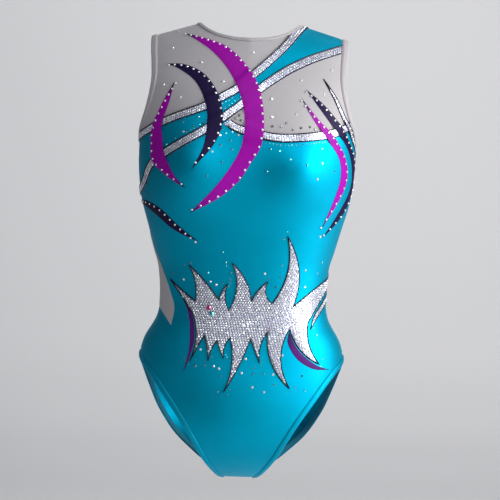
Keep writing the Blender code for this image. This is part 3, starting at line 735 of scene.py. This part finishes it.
def ring(edges_at, distance):
    front, back = edges_at(distance)
    return np.concatenate([front, back[-2:0:-1]])


def make_ring_tapes():
    for node, material, edges_at, first, last, layer in (
        ("armhole_binding", "nude_binding", arm_edges, 0.0, ARM_TAPE, BINDING),
        ("leg_hem", "teal_lycra", leg_edges, HEM_TAPE, 0.0, LEG_HEM),
        ("leg_elastic", "dyed_elastic", leg_edges, *ELASTIC_EDGES, LEG_ELASTIC),
    ):
        rails = blended([ring(edges_at, first), ring(edges_at, last)], TAPE_RAILS)
        add_band(node + "_right", material, rails, layer, True)
        other = [reflected(rail) for rail in rails[::-1]]
        add_band(node + "_left", material, other, layer, True)


def neck_rail(distance):
    front, back = neck_edges(distance)
    return np.concatenate([reflected(back), front[1:-1], back[::-1]])


def make_neck_and_keyhole_tapes():
    rails = blended([neck_rail(0.0), neck_rail(NECK_TAPE)], TAPE_RAILS)
    add_band("neck_binding", "nude_binding", rails, BINDING)
    top = climb(np.array([math.pi]), np.array([BACK_NECK[0][1] - NECK_TAPE]))[0] - 2 * GAP
    outer, inner = keyhole_edge(0.0), keyhole_edge(KEYHOLE_TAPE)
    below = np.maximum(outer[:, 1], inner[:, 1]) < top
    rails = blended([outer[below], inner[below]], KEYHOLE_RAILS)
    add_band("keyhole_binding", "nude_binding", rails, BINDING)


def make_crotch_lining():
    """Front and back are smoothed apart: on the pattern they meet only at the crotch."""
    rails = []
    middle = ((LINING_CROTCH, 0),)
    for share in np.linspace(-1, 1, LINING_RAILS):
        halves = []
        tables = LINING_FRONT + middle, middle + LINING_BACK
        for back, (table, count) in enumerate(zip(tables, LINING_STEPS)):
            line = on_body([(share * x, h) for x, h in table], bool(back))
            at = distances(line)
            halves.append(smooth_at(line, at, np.linspace(0, at[-1], count)))
        rails.append(np.concatenate([halves[0], halves[1][1:]]))
    add_band("crotch_lining", "lining_knit", rails[::-1], LINING)


# Trims and appliques


def beside(line, widths, share):
    """The tapering trim's line moved sideways by a share of its half width: 1 is its left edge."""
    half = np.linspace(widths[0], widths[1], len(line))[:, None] / 2
    return line + (shifted(line, 1.0) - line) * half * share


def strip(line, widths, start_along=None, extra=0.0):
    widths = (widths[0] + extra, widths[1] + extra)
    width = widths[0]
    left, right = beside(line, widths, 1), beside(line, widths, -1)
    if start_along is not None:
        side = sideways(line[:2])[0]
        along = start_along / np.linalg.norm(start_along)
        left[0] = line[0] + along * (width / 2 / (along @ side))
        right[0] = line[0] - along * (width / 2 / (along @ side))
    return np.concatenate([left, right[::-1]])


def lift_over(places):
    """How far an applique rises where it crosses a trim."""
    far = np.full(len(places), 1e9)
    for line in LINES.values():
        for point in line:
            far = np.minimum(far, np.linalg.norm(places - point, axis=1))
    share = np.clip((LIFT_NONE - far) / (LIFT_NONE - LIFT_FULL), 0, 1)
    return LIFT_OVER_TRIM * share * share * (3 - 2 * share)


def lift_of(node):
    return lift_over if node in CROSSING else None


def make_trims():
    holes, front = opening_cutters(False), half_body(0.0)
    lower = LINES["lower"]
    near = 1 + np.argmin(np.linalg.norm(lower[1:-1] - LINES["bust"][0], axis=1))
    along = lower[near + 1] - lower[near - 1]
    for name, widths in TRIM_WIDTHS.items():
        outline = strip(LINES[name], widths, along if name == "bust" else None)
        others = [strip(lower, TRIM_WIDTHS["lower"], extra=2 * GAP)] if name == "bust" else []
        cloth = cut_cloth([outline, front], holes + others, TRIM_SPACING)
        at = distances(body_points(LINES[name]))
        nearest = [at[np.argmin(np.linalg.norm(LINES[name] - place, axis=1))] for place in cloth[0]]
        sides = max(widths) * MM, np.ptp(nearest) * MM
        add_cloth(name + "_silver_trim", "silver_foil", cloth, TRIM, sides=sides)


def tip_shade(places, line, reach_down, reach_up):
    """1 at an applique's two tips, fading to 0 over the given lengths along it."""
    start = np.linalg.norm(places - line[0], axis=1) / reach_down
    end = np.linalg.norm(places - line[-1], axis=1) / reach_up
    return np.clip(1.0 - np.minimum(start, end), 0, 1)


def make_appliques():
    for node, (slot, first, second) in CRESCENTS.items():
        edges = [smooth_line_on(edge, OUTLINE_STEP) for edge in (first, second)]
        outline = np.concatenate([edges[0][:-1], edges[1][:0:-1]])
        cloth = cut_cloth([outline], [], APPLIQUE_SPACING)
        tips = tip_shade(cloth[0], edges[0], *TIP_REACH)
        material = "plum_lycra" if node.startswith("purple_accent") else slot
        add_cloth(node, material, cloth, APPLIQUE, lift_of(node), tips)
        OUTLINES[node] = outline
        EDGES[node] = edges
    OUTLINES["waist_crest"] = on_body(bowed_outline(CREST, OUTLINE_STEP))
    cloth = cut_cloth([OUTLINES["waist_crest"]], [], APPLIQUE_SPACING)
    add_cloth("waist_crest", "silver_foil", cloth, APPLIQUE)


OUTLINES, EDGES = {}, {}
TIP_REACH = (34.0, 26.0)  # how far the tips' shade runs down and up a crescent


# Edging, stitches and stones

BRIGHT = ["stone_clear"] * 3 + ["stone_lilac", "stone_grey"]
PALE = ["stone_white", "stone_clear"]
DIM = ["stone_teal", "stone_smoke"]
ROUND = (8, 0.12)  # a rounder stone: its sides, and its girdle's height in radii
TABLE_SHARE, CROWN_HEIGHT = 0.58, 0.42  # a stone's flat top and its height, in radii
SUNK = 0.1  # how far packed stones and seam stitches sit into the cloth
ROW_SHARE = 0.87  # the distance between staggered rows, as a share of the pitch
TRIM_STONE_PITCH = 3.4
TRIM_STONE_INSET, TRIM_EDGING_INSET = 3.2, 1.4  # taken off the trim's width
TRIM_STONE_ROW = 0.64  # the outer rows' distance from the middle, as a share of half the width
TRIM_STONE_RADII = (0.44, 0.49)  # shares of the pitch
STONE_MARGIN = 0.8  # the least distance from a trim's stones to an opening
TRIM_JITTER, PACKED_JITTER, PACKED_TILT = 0.15, 0.25, 0.3
EDGING_PROFILE = ((-0.5, 0.0), (-0.4, 0.7), (0.0, 1.0), (0.4, 0.7), (0.5, 0.0))
# Edging: its width, and its layer.
TRIM_EDGING = 1.5, (TRIM[1] - 0.4, TRIM[1] + 0.5)
CREST_EDGING = 1.7, (APPLIQUE[0] - 0.3, APPLIQUE[1] + 0.5)
SPIKE_EDGING = 1.2, (APPLIQUE[0] - 0.2, APPLIQUE[1] + 0.4)
# Pieces packed with stones: name, edging, stone radii, pitch, and margin inside the outline.
PACKED = {
    "waist_crest": ("crest", CREST_EDGING, (1.55, 1.8), 3.7, 1.6),
    "crest_side_right": ("crest_side_right", SPIKE_EDGING, (1.3, 1.5), 3.1, 1.4),
    "silver_spike_right": ("silver_spike_right", SPIKE_EDGING, (1.3, 1.5), 3.1, 1.4),
}
STITCH_SUNK = 0.15  # how far stitches sit into a tape
# Rows of stitches: millimetres in from a tape's edge, or beside a seam.
ARM_ROWS, LEG_ROWS, NECK_ROWS, KEYHOLE_ROW = (1.8, 5.0), (5.0, 7.0), (1.8, 5.2), 2.5
BACK_SEAM_ROWS, SIDE_SEAM_ROWS = (-1.5, 1.5), (-1.6, 1.6)
KEYHOLE_STITCH_STOP = 9  # how far below the keyhole's top its stitches stop
SIDE_SEAM_MARGIN, SIDE_SEAM_STEP = 3, 5.0


def walked(line, pitch, start=0.0, end=None, growth=0.0):
    """Places along the line at this pitch over the body, which grows by this share to its end."""
    at = distances(body_points(line))
    stops, here = [], start
    last = at[-1] - start if end is None else at[-1] - end
    while here <= last:
        stops.append(here)
        here += pitch * (1 + growth * here / at[-1])
    return np.stack([np.interp(stops, at, line[:, 0]), np.interp(stops, at, line[:, 1])], 1)


def add_edging(name, runs, width, layer, lift=None):
    """Dark half-round edging, raised over the cloth."""
    vertices, faces = [], []
    for run in runs:
        if len(run) < 3:
            continue
        frames = []
        for across, height in EDGING_PROFILE:
            places = shifted(run, -across * width)
            points, normals = body_frames(places)
            extra = lift(run) if lift else np.zeros(len(run))
            rise = layer[0] + (layer[1] - layer[0]) * height + extra
            frames.append(points + normals * rise[:, None])
        base, count, rails = len(vertices), len(run), len(frames)
        for i in range(count):
            vertices += [frame[i] for frame in frames]
        for i in range(count - 1):
            a, b = base + i * rails, base + (i + 1) * rails
            for j in range(rails):
                k = (j + 1) % rails
                faces.append((a + j, a + k, b + k, b + j))
        faces.append(tuple(base + j for j in reversed(range(rails))))
        end = base + (count - 1) * rails
        faces.append(tuple(end + j for j in range(rails)))
    add_mesh(name, "black_piping", vertices, faces).data.validate()


def runs_inside(line, keep, cut):
    """The stretches of the line that lie inside keep and outside every polygon of cut."""
    good = within(line, keep) & clear_of(line, cut)
    runs, run = [], []
    for place, ok in zip(line, good):
        if ok:
            run.append(place)
        elif run:
            runs.append(np.array(run))
            run = []
    return runs + ([np.array(run)] if run else [])


STITCH_CORNERS = (
    (-1, 0, 0), (-0.6, -1, 0), (0.6, -1, 0), (1, 0, 0), (0.6, 1, 0), (-0.6, 1, 0), (-0.6, 0, 1),
    (0.6, 0, 1),
)
STITCH_FACES = (
    (5, 4, 3, 2, 1, 0), (0, 1, 6), (1, 2, 7, 6), (2, 3, 7), (3, 4, 7), (4, 5, 6, 7), (5, 0, 6),
)
STITCH_PITCH, STITCH_LENGTH, STITCH_WIDTH, STITCH_RISE = 3.2, 2.1, 0.5, 0.35


def add_stitches(name, material, lines, height):
    """Short raised stitches end to end along the lines."""
    vertices, faces = [], []
    for line in lines:
        spots = walked(line, STITCH_PITCH, STITCH_PITCH / 2)
        points, normals = body_frames(spots)
        ahead = np.gradient(points, axis=0)
        ahead /= np.linalg.norm(ahead, axis=1)[:, None]
        side = np.cross(normals, ahead)
        for p, n, t, s in zip(points, normals, ahead, side):
            base = len(vertices)
            for along, across, up in STITCH_CORNERS:
                rise = n * (height + up * STITCH_RISE)
                ahead_by, aside = t * along * STITCH_LENGTH / 2, s * across * STITCH_WIDTH / 2
                vertices.append(p + ahead_by + aside + rise)
            faces += [tuple(base + k for k in face) for face in STITCH_FACES]
    add_mesh(name, material, vertices, faces)


def stone_shape(sides, girdle):
    """Flat-backed faceted stone of unit radius: vertices and faces."""
    turns = np.arange(sides) * 2 * math.pi / sides
    rings = [np.stack([np.cos(turns), np.sin(turns), np.zeros(sides)], 1)]
    if girdle:
        rings.append(rings[0] + (0, 0, girdle))
    half = turns + math.pi / sides
    table = np.full(sides, girdle + CROWN_HEIGHT)
    rings.append(np.stack([np.cos(half) * TABLE_SHARE, np.sin(half) * TABLE_SHARE, table], 1))
    top, faces = (len(rings) - 2) * sides, [tuple(range(sides - 1, -1, -1))]
    for k in range(sides):
        after = (k + 1) % sides
        if girdle:
            faces.append((k, after, sides + after, sides + k))
        faces.append((top + k, top + after, top + sides + k))
        faces.append((top + after, top + sides + after, top + sides + k))
    faces.append(tuple(top + sides + k for k in range(sides)))
    return np.concatenate(rings), faces


def add_stones(name, materials, spots, height, sides=6, girdle=0.0, lift=None, tilt=0.12):
    """Stones as one piece; a spot is (place, radius). Each takes one material at random."""
    shape, shape_faces = stone_shape(sides, girdle)
    places = np.array([place for place, _ in spots])
    points, normals = body_frames(places)
    rise = np.full(len(spots), height) + (lift(places) if lift else 0.0)
    vertices, faces, picks = [], [], []
    for k, (_, radius) in enumerate(spots):
        normal = Vector(normals[k])
        turn = normal.to_track_quat("Z", "Y").to_matrix()
        lean = Matrix.Rotation(NAP.uniform(0, tilt), 3, "X")
        spin = Matrix.Rotation(NAP.uniform(0, 6.283), 3, "Z")
        back = Matrix.Rotation(NAP.uniform(0, 6.283), 3, "Z")
        matrix = np.array(turn @ spin @ lean @ back) * radius
        base = len(vertices) * len(shape)
        vertices.append(shape @ matrix.T + points[k] + normals[k] * rise[k])
        faces += [tuple(base + i for i in face) for face in shape_faces]
        picks += [NAP.randrange(len(materials))] * len(shape_faces)
    thing = add_mesh(name, materials, np.concatenate(vertices), faces)
    thing.data.shade_flat()
    thing.data.polygons.foreach_set("material_index", picks)


def make_trim_details():
    holes, front = opening_cutters(False), half_body(0.0)
    covers = [OUTLINES[name] for name in CROSSING]
    for name, widths in TRIM_WIDTHS.items():
        pitch = TRIM_STONE_PITCH
        line = LINES[name][1:] if name == "bust" else LINES[name]
        cut = holes + ([strip(LINES["lower"], TRIM_WIDTHS["lower"])] if name == "bust" else [])
        inset = [width - TRIM_EDGING_INSET for width in widths]
        edges = [beside(line, inset, side) for side in (1, -1)]
        runs = [run for edge in edges for run in runs_inside(edge, front, cut)]
        add_edging(name + "_trim_edging", runs, *TRIM_EDGING)
        inset, spots = [width - TRIM_STONE_INSET for width in widths], []
        for row in (-1, 0, 1):
            path = beside(line, inset, row * TRIM_STONE_ROW)
            for place in walked(path, pitch, pitch * (0.5 + row % 2 / 2)):
                place = place + nudge(TRIM_JITTER, TRIM_JITTER)
                spots.append((place, pitch * NAP.uniform(*TRIM_STONE_RADII)))
        shown = np.array([place for place, _ in spots])
        good = within(shown, front) & clear_of(shown, cut + covers)
        good &= edge_distance(shown, cut) > STONE_MARGIN
        spots = [spot for spot, ok in zip(spots, good) if ok]
        add_stones(name + "_trim_stones", BRIGHT, spots, TRIM[1] - SUNK)


def nudge(across, up):
    """A small random step over the pattern."""
    return np.array((NAP.uniform(-across, across), NAP.uniform(-up, up)))


def packed_spots(outline, pitch, margin):
    """Stones packed over an outline in staggered rows."""
    spots = []
    low, high = outline.min(0), outline.max(0)
    across = np.arange(low[0] - 2, high[0] + 2, 3.0)
    for row, v in enumerate(np.arange(low[1], high[1], pitch * ROW_SHARE)):
        line = np.stack([across, np.full(len(across), v)], 1)
        spots.append(walked(line, pitch, row % 2 * pitch / 2))
    spots = np.concatenate(spots)
    spots += np.array([nudge(PACKED_JITTER, PACKED_JITTER) for _ in spots])
    spots = spots[within(spots, outline)]
    return spots[edge_distance(spots, [outline]) > margin]


def make_packed_details():
    """Edging and packed stones on the crest and the silver pieces beside it."""
    for node, (name, edging, radii, pitch, margin) in PACKED.items():
        outline, lift = OUTLINES[node], lift_of(node)
        closed = np.concatenate([outline, outline[:2]])
        add_edging(name + "_edging", [closed], *edging, lift)
        places = packed_spots(outline, pitch, margin)
        spots = [(place, NAP.uniform(*radii)) for place in places]
        top = APPLIQUE[1] - SUNK
        add_stones(name + "_stones", BRIGHT, spots, top, tilt=PACKED_TILT, lift=lift)


STONE_EDGES = {
    "purple_crescent_large": (0, -1), "indigo_crescent": (0, -1), "purple_crescent_small": (1, 1),
    "purple_crescent_right": (1, -1), "indigo_crescent_right": (1, -1), "indigo_side_spike": (0, 1),
}


# Stones along a crescent: distance in from its edge, pitch, start, growth of pitch, and radii.
EDGE_INSET, EDGE_PITCH, EDGE_START, EDGE_GROWTH, EDGE_RADII = 2.5, 9.0, 2.0, 0.55, (1.45, 1.65)


def make_crescent_stones():
    for node, (edge, side) in STONE_EDGES.items():
        line = shifted(EDGES[node][edge], side * EDGE_INSET)
        places = walked(line, EDGE_PITCH, EDGE_START, growth=EDGE_GROWTH)
        spots = [(place, NAP.uniform(*EDGE_RADII)) for place in places]
        add_stones(node + "_stones", PALE, spots, APPLIQUE[1], *ROUND, lift_of(node))


# Loose stones: (x, height) on the front, and for the feature stones a radius.
NUDE_STONES = (
    (-107, 599), (-66, 578), (-35, 551), (-93, 528), (-101, 625), (-117, 546), (5, 594), (114, 573),
    (72, 556), (32, 528), (66, 508), (33, 503), (104, 538),
)
SMALL_STONES = (
    (34, 490), (46, 490), (53, 495), (62, 486), (73, 489), (85, 491), (92, 488), (-11, 504),
    (-16, 500), (-9, 497),
)
TEAL_STONES = (
    (-34, 485), (-29, 479), (-20, 481), (-12, 477), (-37, 476), (-23, 469), (-36, 462), (-20, 457),
    (-47, 453), (-34, 439), (-53, 420), (103, 442), (120, 432), (97, 420), (60, 445), (28, 428),
    (45, 456), (32, 459), (102, 462), (82, 438), (-88, 494), (-67, 501), (-87, 480), (-74, 487),
    (-61, 491), (-98, 471), (-110, 462), (-29, 317), (-25, 303), (-49, 288), (-45, 276), (-82, 278),
    (-17, 289), (-37, 272), (104, 342), (85, 295), (85, 272), (103, 290), (108, 306), (52, 301),
    (29, 289), (45, 271), (51, 285), (-62, 161), (-56, 183), (-37, 161), (-30, 158), (-27, 148),
    (1, 153), (6, 172), (103, 205), (114, 216), (56, 178), (48, 163), (44, 152), (84, 150),
    (31, 153), (17, 152), (46, 138), (16, 134), (32, 128), (88, 130),
)
FEATURE_STONES = (
    (-46, 240, 3.4, "stone_pink"), (-42, 232, 3.4, "stone_aqua"), (1, 217, 2.6, "stone_white"),
)
FEATURE_RISE, FEATURE_SHAPE = 0.3, (10, 0.15)  # how far they stand proud; sides and girdle


def make_loose_stones():
    for name, material, points, radius in (
        ("yoke_stones", ["stone_clear"], NUDE_STONES, 1.9),
        ("inset_stones", ["stone_smoke"], SMALL_STONES, 1.9),
        ("body_stones", ["stone_aqua", "stone_clear", "stone_teal"], TEAL_STONES, 1.7),
    ):
        spots = [(place, radius * NAP.uniform(0.9, 1.1)) for place in on_body(points)]
        add_stones(name, material, spots, CLOTH[1], *ROUND)
    top = APPLIQUE[1] + FEATURE_RISE
    for k, (x, height, radius, material) in enumerate(FEATURE_STONES):
        spots = [(on_body([(x, height)])[0], radius)]
        add_stones(f"feature_stone_{k + 1}", [material], spots, top, *FEATURE_SHAPE)


# Rows of small stones beside the trims: distance from the line, and where along it they start.
BAND_ROWS = {"upper": (-9.2, 210.0), "lower": (9.8, 210.0), "bust": (-9.2, 30.0)}
BAND_PITCH, BAND_JITTER, SMALL_RADIUS = 5.2, 0.8, 1.0
# Stones round each corner of the crest: how many, how far they spread, and how near they come.
VALLEY_COUNT, VALLEY_SPREAD, VALLEY_MARGIN = 5, (9, 8), 2.2


def make_valley_stones():
    """Small stones in the crest's valleys and along the band's edges."""
    spots = []
    for x, height, _ in CREST:
        for _ in range(VALLEY_COUNT):
            spots.append(on_body([(x, height) + nudge(*VALLEY_SPREAD)])[0])
    spots, crest = np.array(spots), [OUTLINES["waist_crest"]]
    spots = spots[clear_of(spots, crest) & (edge_distance(spots, crest) > VALLEY_MARGIN)]
    add_stones("valley_stones", DIM, [(place, SMALL_RADIUS) for place in spots], CLOTH[1])
    band = []
    for name, (offset, start) in BAND_ROWS.items():
        for place in walked(shifted(LINES[name], offset), BAND_PITCH, start):
            band.append(place + nudge(BAND_JITTER, BAND_JITTER))
    band = np.array(band)
    covers = [strip(LINES[name], TRIM_WIDTHS[name], extra=1.0) for name in LINES]
    covers += opening_cutters(False) + [OUTLINES[name] for name in CROSSING]
    band = band[within(band, half_body(0.0)) & clear_of(band, covers)]
    add_stones("band_stones", DIM, [(place, SMALL_RADIUS) for place in band], CLOTH[1])


def make_stitching():
    for side, flip in (("right", False), ("left", True)):
        arms = [edge for d in ARM_ROWS for edge in arm_edges(d)]
        legs = [edge for d in LEG_ROWS for edge in leg_edges(d)]
        if flip:
            arms, legs = [reflected(a) for a in arms], [reflected(a) for a in legs]
        add_stitches("armhole_stitches_" + side, "nude_thread", arms, BINDING[1] - STITCH_SUNK)
        add_stitches("leg_stitches_" + side, "teal_thread", legs, LEG_HEM[1] - STITCH_SUNK)
    necks = [edge for d in NECK_ROWS for edge in neck_edges(d)]
    necks += [reflected(necks[1]), reflected(necks[3])]
    add_stitches("neck_stitches", "nude_thread", necks, BINDING[1] - STITCH_SUNK)
    edge = keyhole_edge(KEYHOLE_ROW)
    edge = edge[edge[:, 1] < edge[:, 1].max() - KEYHOLE_STITCH_STOP]
    add_stitches("keyhole_stitches", "nude_thread", [edge], BINDING[1] - STITCH_SUNK)
    seam = back_seam()[2:-2]
    seams = [shifted(seam, d) for d in BACK_SEAM_ROWS]
    add_stitches("back_seam_stitches", "teal_thread", seams, CLOTH[1] - SUNK)
    sides = []
    for sign in (1, -1):
        for offset in SIDE_SEAM_ROWS:
            low = LEG_TOP + HEM_TAPE + SIDE_SEAM_MARGIN
            v = np.arange(low, ARM_BOTTOM - ARM_TAPE - SIDE_SEAM_MARGIN, SIDE_SEAM_STEP)
            sides.append(np.stack([np.full(len(v), sign * SIDE_Q + offset), v], 1))
    add_stitches("side_seam_stitches", "teal_thread", sides, CLOTH[1] - SUNK)


# Materials

MATERIALS = {}


def new_material(name, colour, roughness, metallic=0.0, **inputs):
    material = bpy.data.materials.new(name)
    material.use_nodes = True
    shader = material.node_tree.nodes["Principled BSDF"]
    shader.inputs["Base Color"].default_value = (*colour, 1)
    shader.inputs["Roughness"].default_value = roughness
    shader.inputs["Metallic"].default_value = metallic
    for key, value in inputs.items():
        shader.inputs[key.replace("_", " ")].default_value = value
    MATERIALS[name] = material
    return material


class Graph:
    """Adds nodes to a material and links them."""

    def __init__(self, material):
        self.tree = material.node_tree
        self.shader = self.tree.nodes["Principled BSDF"]

    def add(self, kind, links=None, **settings):
        node = self.tree.nodes.new(kind)
        for key, value in settings.items():
            if key in node.inputs:
                node.inputs[key].default_value = value
            else:
                setattr(node, key, value)
        for key, source in (links or {}).items():
            self.tree.links.new(source, node.inputs[key])
        return node

    def texture(self, kind, place, **settings):
        """A texture's outputs, on the UV or Object coordinates."""
        links = {"Vector": self.add("ShaderNodeTexCoord").outputs[place]}
        return self.add("ShaderNodeTex" + kind, links, **settings).outputs

    def remap(self, source, **ends):
        """Maps 0 to 1, or From_Min to From_Max, onto To_Min to To_Max."""
        ends = {key.replace("_", " "): value for key, value in ends.items()}
        return self.add("ShaderNodeMapRange", {"Value": source}, **ends).outputs["Result"]

    def link(self, source, socket="Base Color"):
        self.tree.links.new(source, self.shader.inputs[socket])

    def tones(self, source, colour, *stops):
        """The colour as the source rises; each stop is (where, share of the colour)."""
        node = self.add("ShaderNodeValToRGB", {"Fac": source})
        for element, (where, share) in zip(node.color_ramp.elements, stops):
            element.position = where
            element.color = (*(min(1.0, c * share) for c in colour), 1)
        return node.outputs["Color"]

    def bump(self, source, strength, distance=0.0002):
        node = self.add("ShaderNodeBump", {"Height": source}, Strength=strength, Distance=distance)
        self.link(node.outputs["Normal"], "Normal")


def knit(graph):
    """Fine ribs of loops along the cloth, as a bump; returns their pattern."""
    place, waves = graph.add("ShaderNodeTexCoord").outputs["UV"], []
    for scale, way in ((55, "X"), (48, "Y")):
        look = {"Scale": scale, "Distortion": 0.6, "bands_direction": way}
        waves.append(graph.add("ShaderNodeTexWave", {"Vector": place}, **look).outputs["Fac"])
    both = graph.add("ShaderNodeMath", dict(enumerate(waves)), operation="MULTIPLY").outputs[0]
    graph.bump(both, 0.25)
    return both


def lycra(name, colour, roughness=0.45, metallic=0.0, tip=None, specular=0.1):
    graph = Graph(new_material(name, colour, roughness, metallic, Specular_IOR_Level=specular))
    pattern = knit(graph)
    cloud = graph.texture("Noise", "Object", Scale=9.0, Detail=3.0)["Fac"]
    tone = graph.tones(cloud, colour, (0.3, 0.86), (0.7, 1.1))
    if tip:
        shade = graph.add("ShaderNodeAttribute", attribute_name="tip").outputs["Fac"]
        soft = graph.remap(shade, From_Min=0.25, From_Max=0.8)
        mix = graph.add("ShaderNodeMix", {"Factor": soft}, data_type="RGBA")
        graph.tree.links.new(tone, mix.inputs["A"])
        mix.inputs["B"].default_value = (*tip, 1)
        tone = mix.outputs["Result"]
    graph.link(tone)
    graph.link(graph.remap(pattern, To_Min=roughness - 0.04, To_Max=roughness + 0.08), "Roughness")


def mesh_cloth(name, colour):
    """Power mesh: tiny darker holes between matte yarns."""
    graph = Graph(new_material(name, colour, 0.72, Sheen_Weight=0.25, Sheen_Roughness=0.5))
    cells = graph.texture("Voronoi", "UV", Scale=95.0, Randomness=0.25)
    graph.link(graph.tones(cells["Distance"], colour, (0.12, 0.8), (0.42, 1.04)))
    graph.bump(cells["Distance"], 0.35)


def tape(name, colour, roughness, ribs):
    graph = Graph(new_material(name, colour, roughness, Sheen_Weight=0.2, Sheen_Roughness=0.5))
    wave = graph.texture("Wave", "UV", Scale=ribs, Distortion=0.8, bands_direction="Y")["Fac"]
    graph.link(graph.tones(wave, colour, (0.2, 0.85), (0.8, 1.05)))
    graph.bump(wave, 0.3)


def foil(name, colour):
    graph = Graph(new_material(name, colour, 0.32, 0.75))
    cells = graph.texture("Voronoi", "Object", Scale=620.0)
    graph.link(graph.tones(cells["Color"], colour, (0.2, 0.45), (0.75, 1.15)))
    graph.bump(cells["Distance"], 0.6, 0.0004)


def thread(name, colour):
    graph = Graph(new_material(name, colour, 0.55))
    twist = graph.texture("Wave", "Object", Scale=900.0, bands_direction="DIAGONAL")["Fac"]
    graph.link(graph.tones(twist, colour, (0.2, 0.75), (0.8, 1.1)))


def stone(name, colour, metallic=0.85, roughness=0.12):
    coat = {"Coat_Weight": 0.6, "Coat_Roughness": 0.03}
    graph = Graph(new_material(name, colour, roughness, metallic, **coat))
    cells = graph.texture("Voronoi", "Object", Scale=900.0)
    graph.link(graph.tones(cells["Color"], colour, (0.2, 0.62), (0.7, 1.25)))


def metal(name, colour):
    graph = Graph(new_material(name, colour, 0.25, 1.0))
    grain = graph.texture("Noise", "Object", Scale=1500.0, Detail=2.0)["Fac"]
    graph.link(graph.remap(grain, To_Min=0.18, To_Max=0.38), "Roughness")


def make_materials():
    indigo = (0.012, 0.006, 0.045)
    lycra("teal_lycra", (0.0, 0.37, 0.56), 0.55, 0.82, specular=0.04)
    lycra("purple_lycra", (0.32, 0.003, 0.34), tip=indigo)
    lycra("indigo_lycra", indigo)
    lycra("plum_lycra", (0.085, 0.012, 0.16), tip=(0.03, 0.01, 0.08))
    mesh_cloth("nude_mesh", (0.40, 0.385, 0.40))
    tape("nude_binding", (0.42, 0.40, 0.42), 0.65, 60.0)
    tape("lining_knit", (0.60, 0.56, 0.53), 0.85, 40.0)
    tape("dyed_elastic", (0.0, 0.20, 0.30), 0.75, 30.0)
    foil("silver_foil", (0.50, 0.52, 0.66))
    lycra("black_piping", (0.008, 0.008, 0.014))
    thread("nude_thread", (0.55, 0.52, 0.53))
    thread("teal_thread", (0.0, 0.24, 0.35))
    stone("stone_clear", (0.76, 0.80, 0.94), 0.35, 0.22)
    stone("stone_white", (0.98, 0.98, 1.0), 0.1, 0.2)
    stone("stone_lilac", (0.68, 0.64, 0.86), 0.35, 0.22)
    stone("stone_smoke", (0.20, 0.22, 0.22), 0.5, 0.2)
    stone("stone_grey", (0.60, 0.62, 0.70), 0.4, 0.2)
    stone("stone_teal", (0.10, 0.50, 0.55))
    stone("stone_pink", (0.85, 0.10, 0.22))
    stone("stone_aqua", (0.15, 0.62, 0.72))
    metal("steel", (0.60, 0.60, 0.62))


# Studio


def add_area(name, place, target, size, power, colour):
    light = bpy.data.lights.new(name, "AREA")
    light.shape = "RECTANGLE"
    light.size, light.size_y = size
    light.energy = power
    light.color = colour
    thing = bpy.data.objects.new(name, light)
    thing.location = place
    thing.rotation_euler = (Vector(target) - Vector(place)).to_track_quat("-Z", "Y").to_euler()
    bpy.context.scene.collection.objects.link(thing)


CAMERA_PLACE, CAMERA_ROLL = (0.008, -2.39, -0.304), math.radians(-1.58)
# The floor and the backdrop that it rises into: (y, z, half width) in metres.
SWEEP = (
    (-4.0, -0.95, 5), (2.2, -0.95, 5), (2.6, -0.9, 1.5), (2.9, -0.75, 1.5), (3.05, -0.5, 1.5),
    (3.1, 0.0, 1.5), (3.1, 1.6, 1.5),
)
# Area lights: name, place, target, size, watts, colour.
LIGHTS = (
    ("key", (2.2, -0.85, 0.45), (0.05, 0, -0.3), (1.3, 1.8), 84, (1.0, 0.99, 0.98)),
    ("fill", (0.15, -2.5, 1.7), (0.0, 0, -0.1), (1.6, 1.0), 30, (0.96, 0.97, 1.0)),
    ("backdrop_light", (0.0, 0.9, 1.9), (0.0, 3.1, -0.4), (3.0, 0.6), 20, (1.0, 1.0, 1.0)),
)


def make_studio():
    scene = bpy.context.scene
    lens = bpy.data.cameras.new("camera")
    lens.sensor_width = 36
    lens.lens = 121.0
    camera = bpy.data.objects.new("camera", lens)
    turn = Matrix.Rotation(CAMERA_ROLL, 4, "Y") @ Matrix.Rotation(math.radians(90), 4, "X")
    camera.matrix_world = Matrix.Translation(CAMERA_PLACE) @ turn
    scene.collection.objects.link(camera)
    scene.camera = camera
    mesh = bpy.data.meshes.new("floor")
    vertices = [(side * half, y, z) for y, z, half in SWEEP for side in (-1, 1)]
    faces = [(2 * k, 2 * k + 1, 2 * k + 3, 2 * k + 2) for k in range(len(SWEEP) - 1)]
    mesh.from_pydata(vertices, [], faces)
    mesh.shade_smooth()
    floor = bpy.data.objects.new("floor", mesh)
    mesh.materials.append(new_material("floor_paint", (0.85, 0.85, 0.86), 0.85))
    scene.collection.objects.link(floor)
    world = bpy.data.worlds.new("studio")
    world.use_nodes = True
    sky = world.node_tree.nodes["Background"].inputs
    sky["Color"].default_value = (0.80, 0.85, 0.95, 1)
    sky["Strength"].default_value = 0.12
    scene.world = world
    scene.view_settings.view_transform = "Standard"
    for light in LIGHTS:
        add_area(*light)


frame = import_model()
make_materials()
LINES = {name: smooth_line_on(points, TRIM_SPACING) for name, points in TRIM_LINES.items()}
make_front_panels()
make_back_panels()
make_ring_tapes()
make_neck_and_keyhole_tapes()
make_crotch_lining()
make_trims()
make_appliques()
make_trim_details()
make_packed_details()
make_crescent_stones()
make_loose_stones()
make_valley_stones()
make_stitching()
for node in ("nape_hook", "nape_eye"):
    for slot in frame["nodes"][node].material_slots:
        slot.material = MATERIALS["steel"]
make_studio()
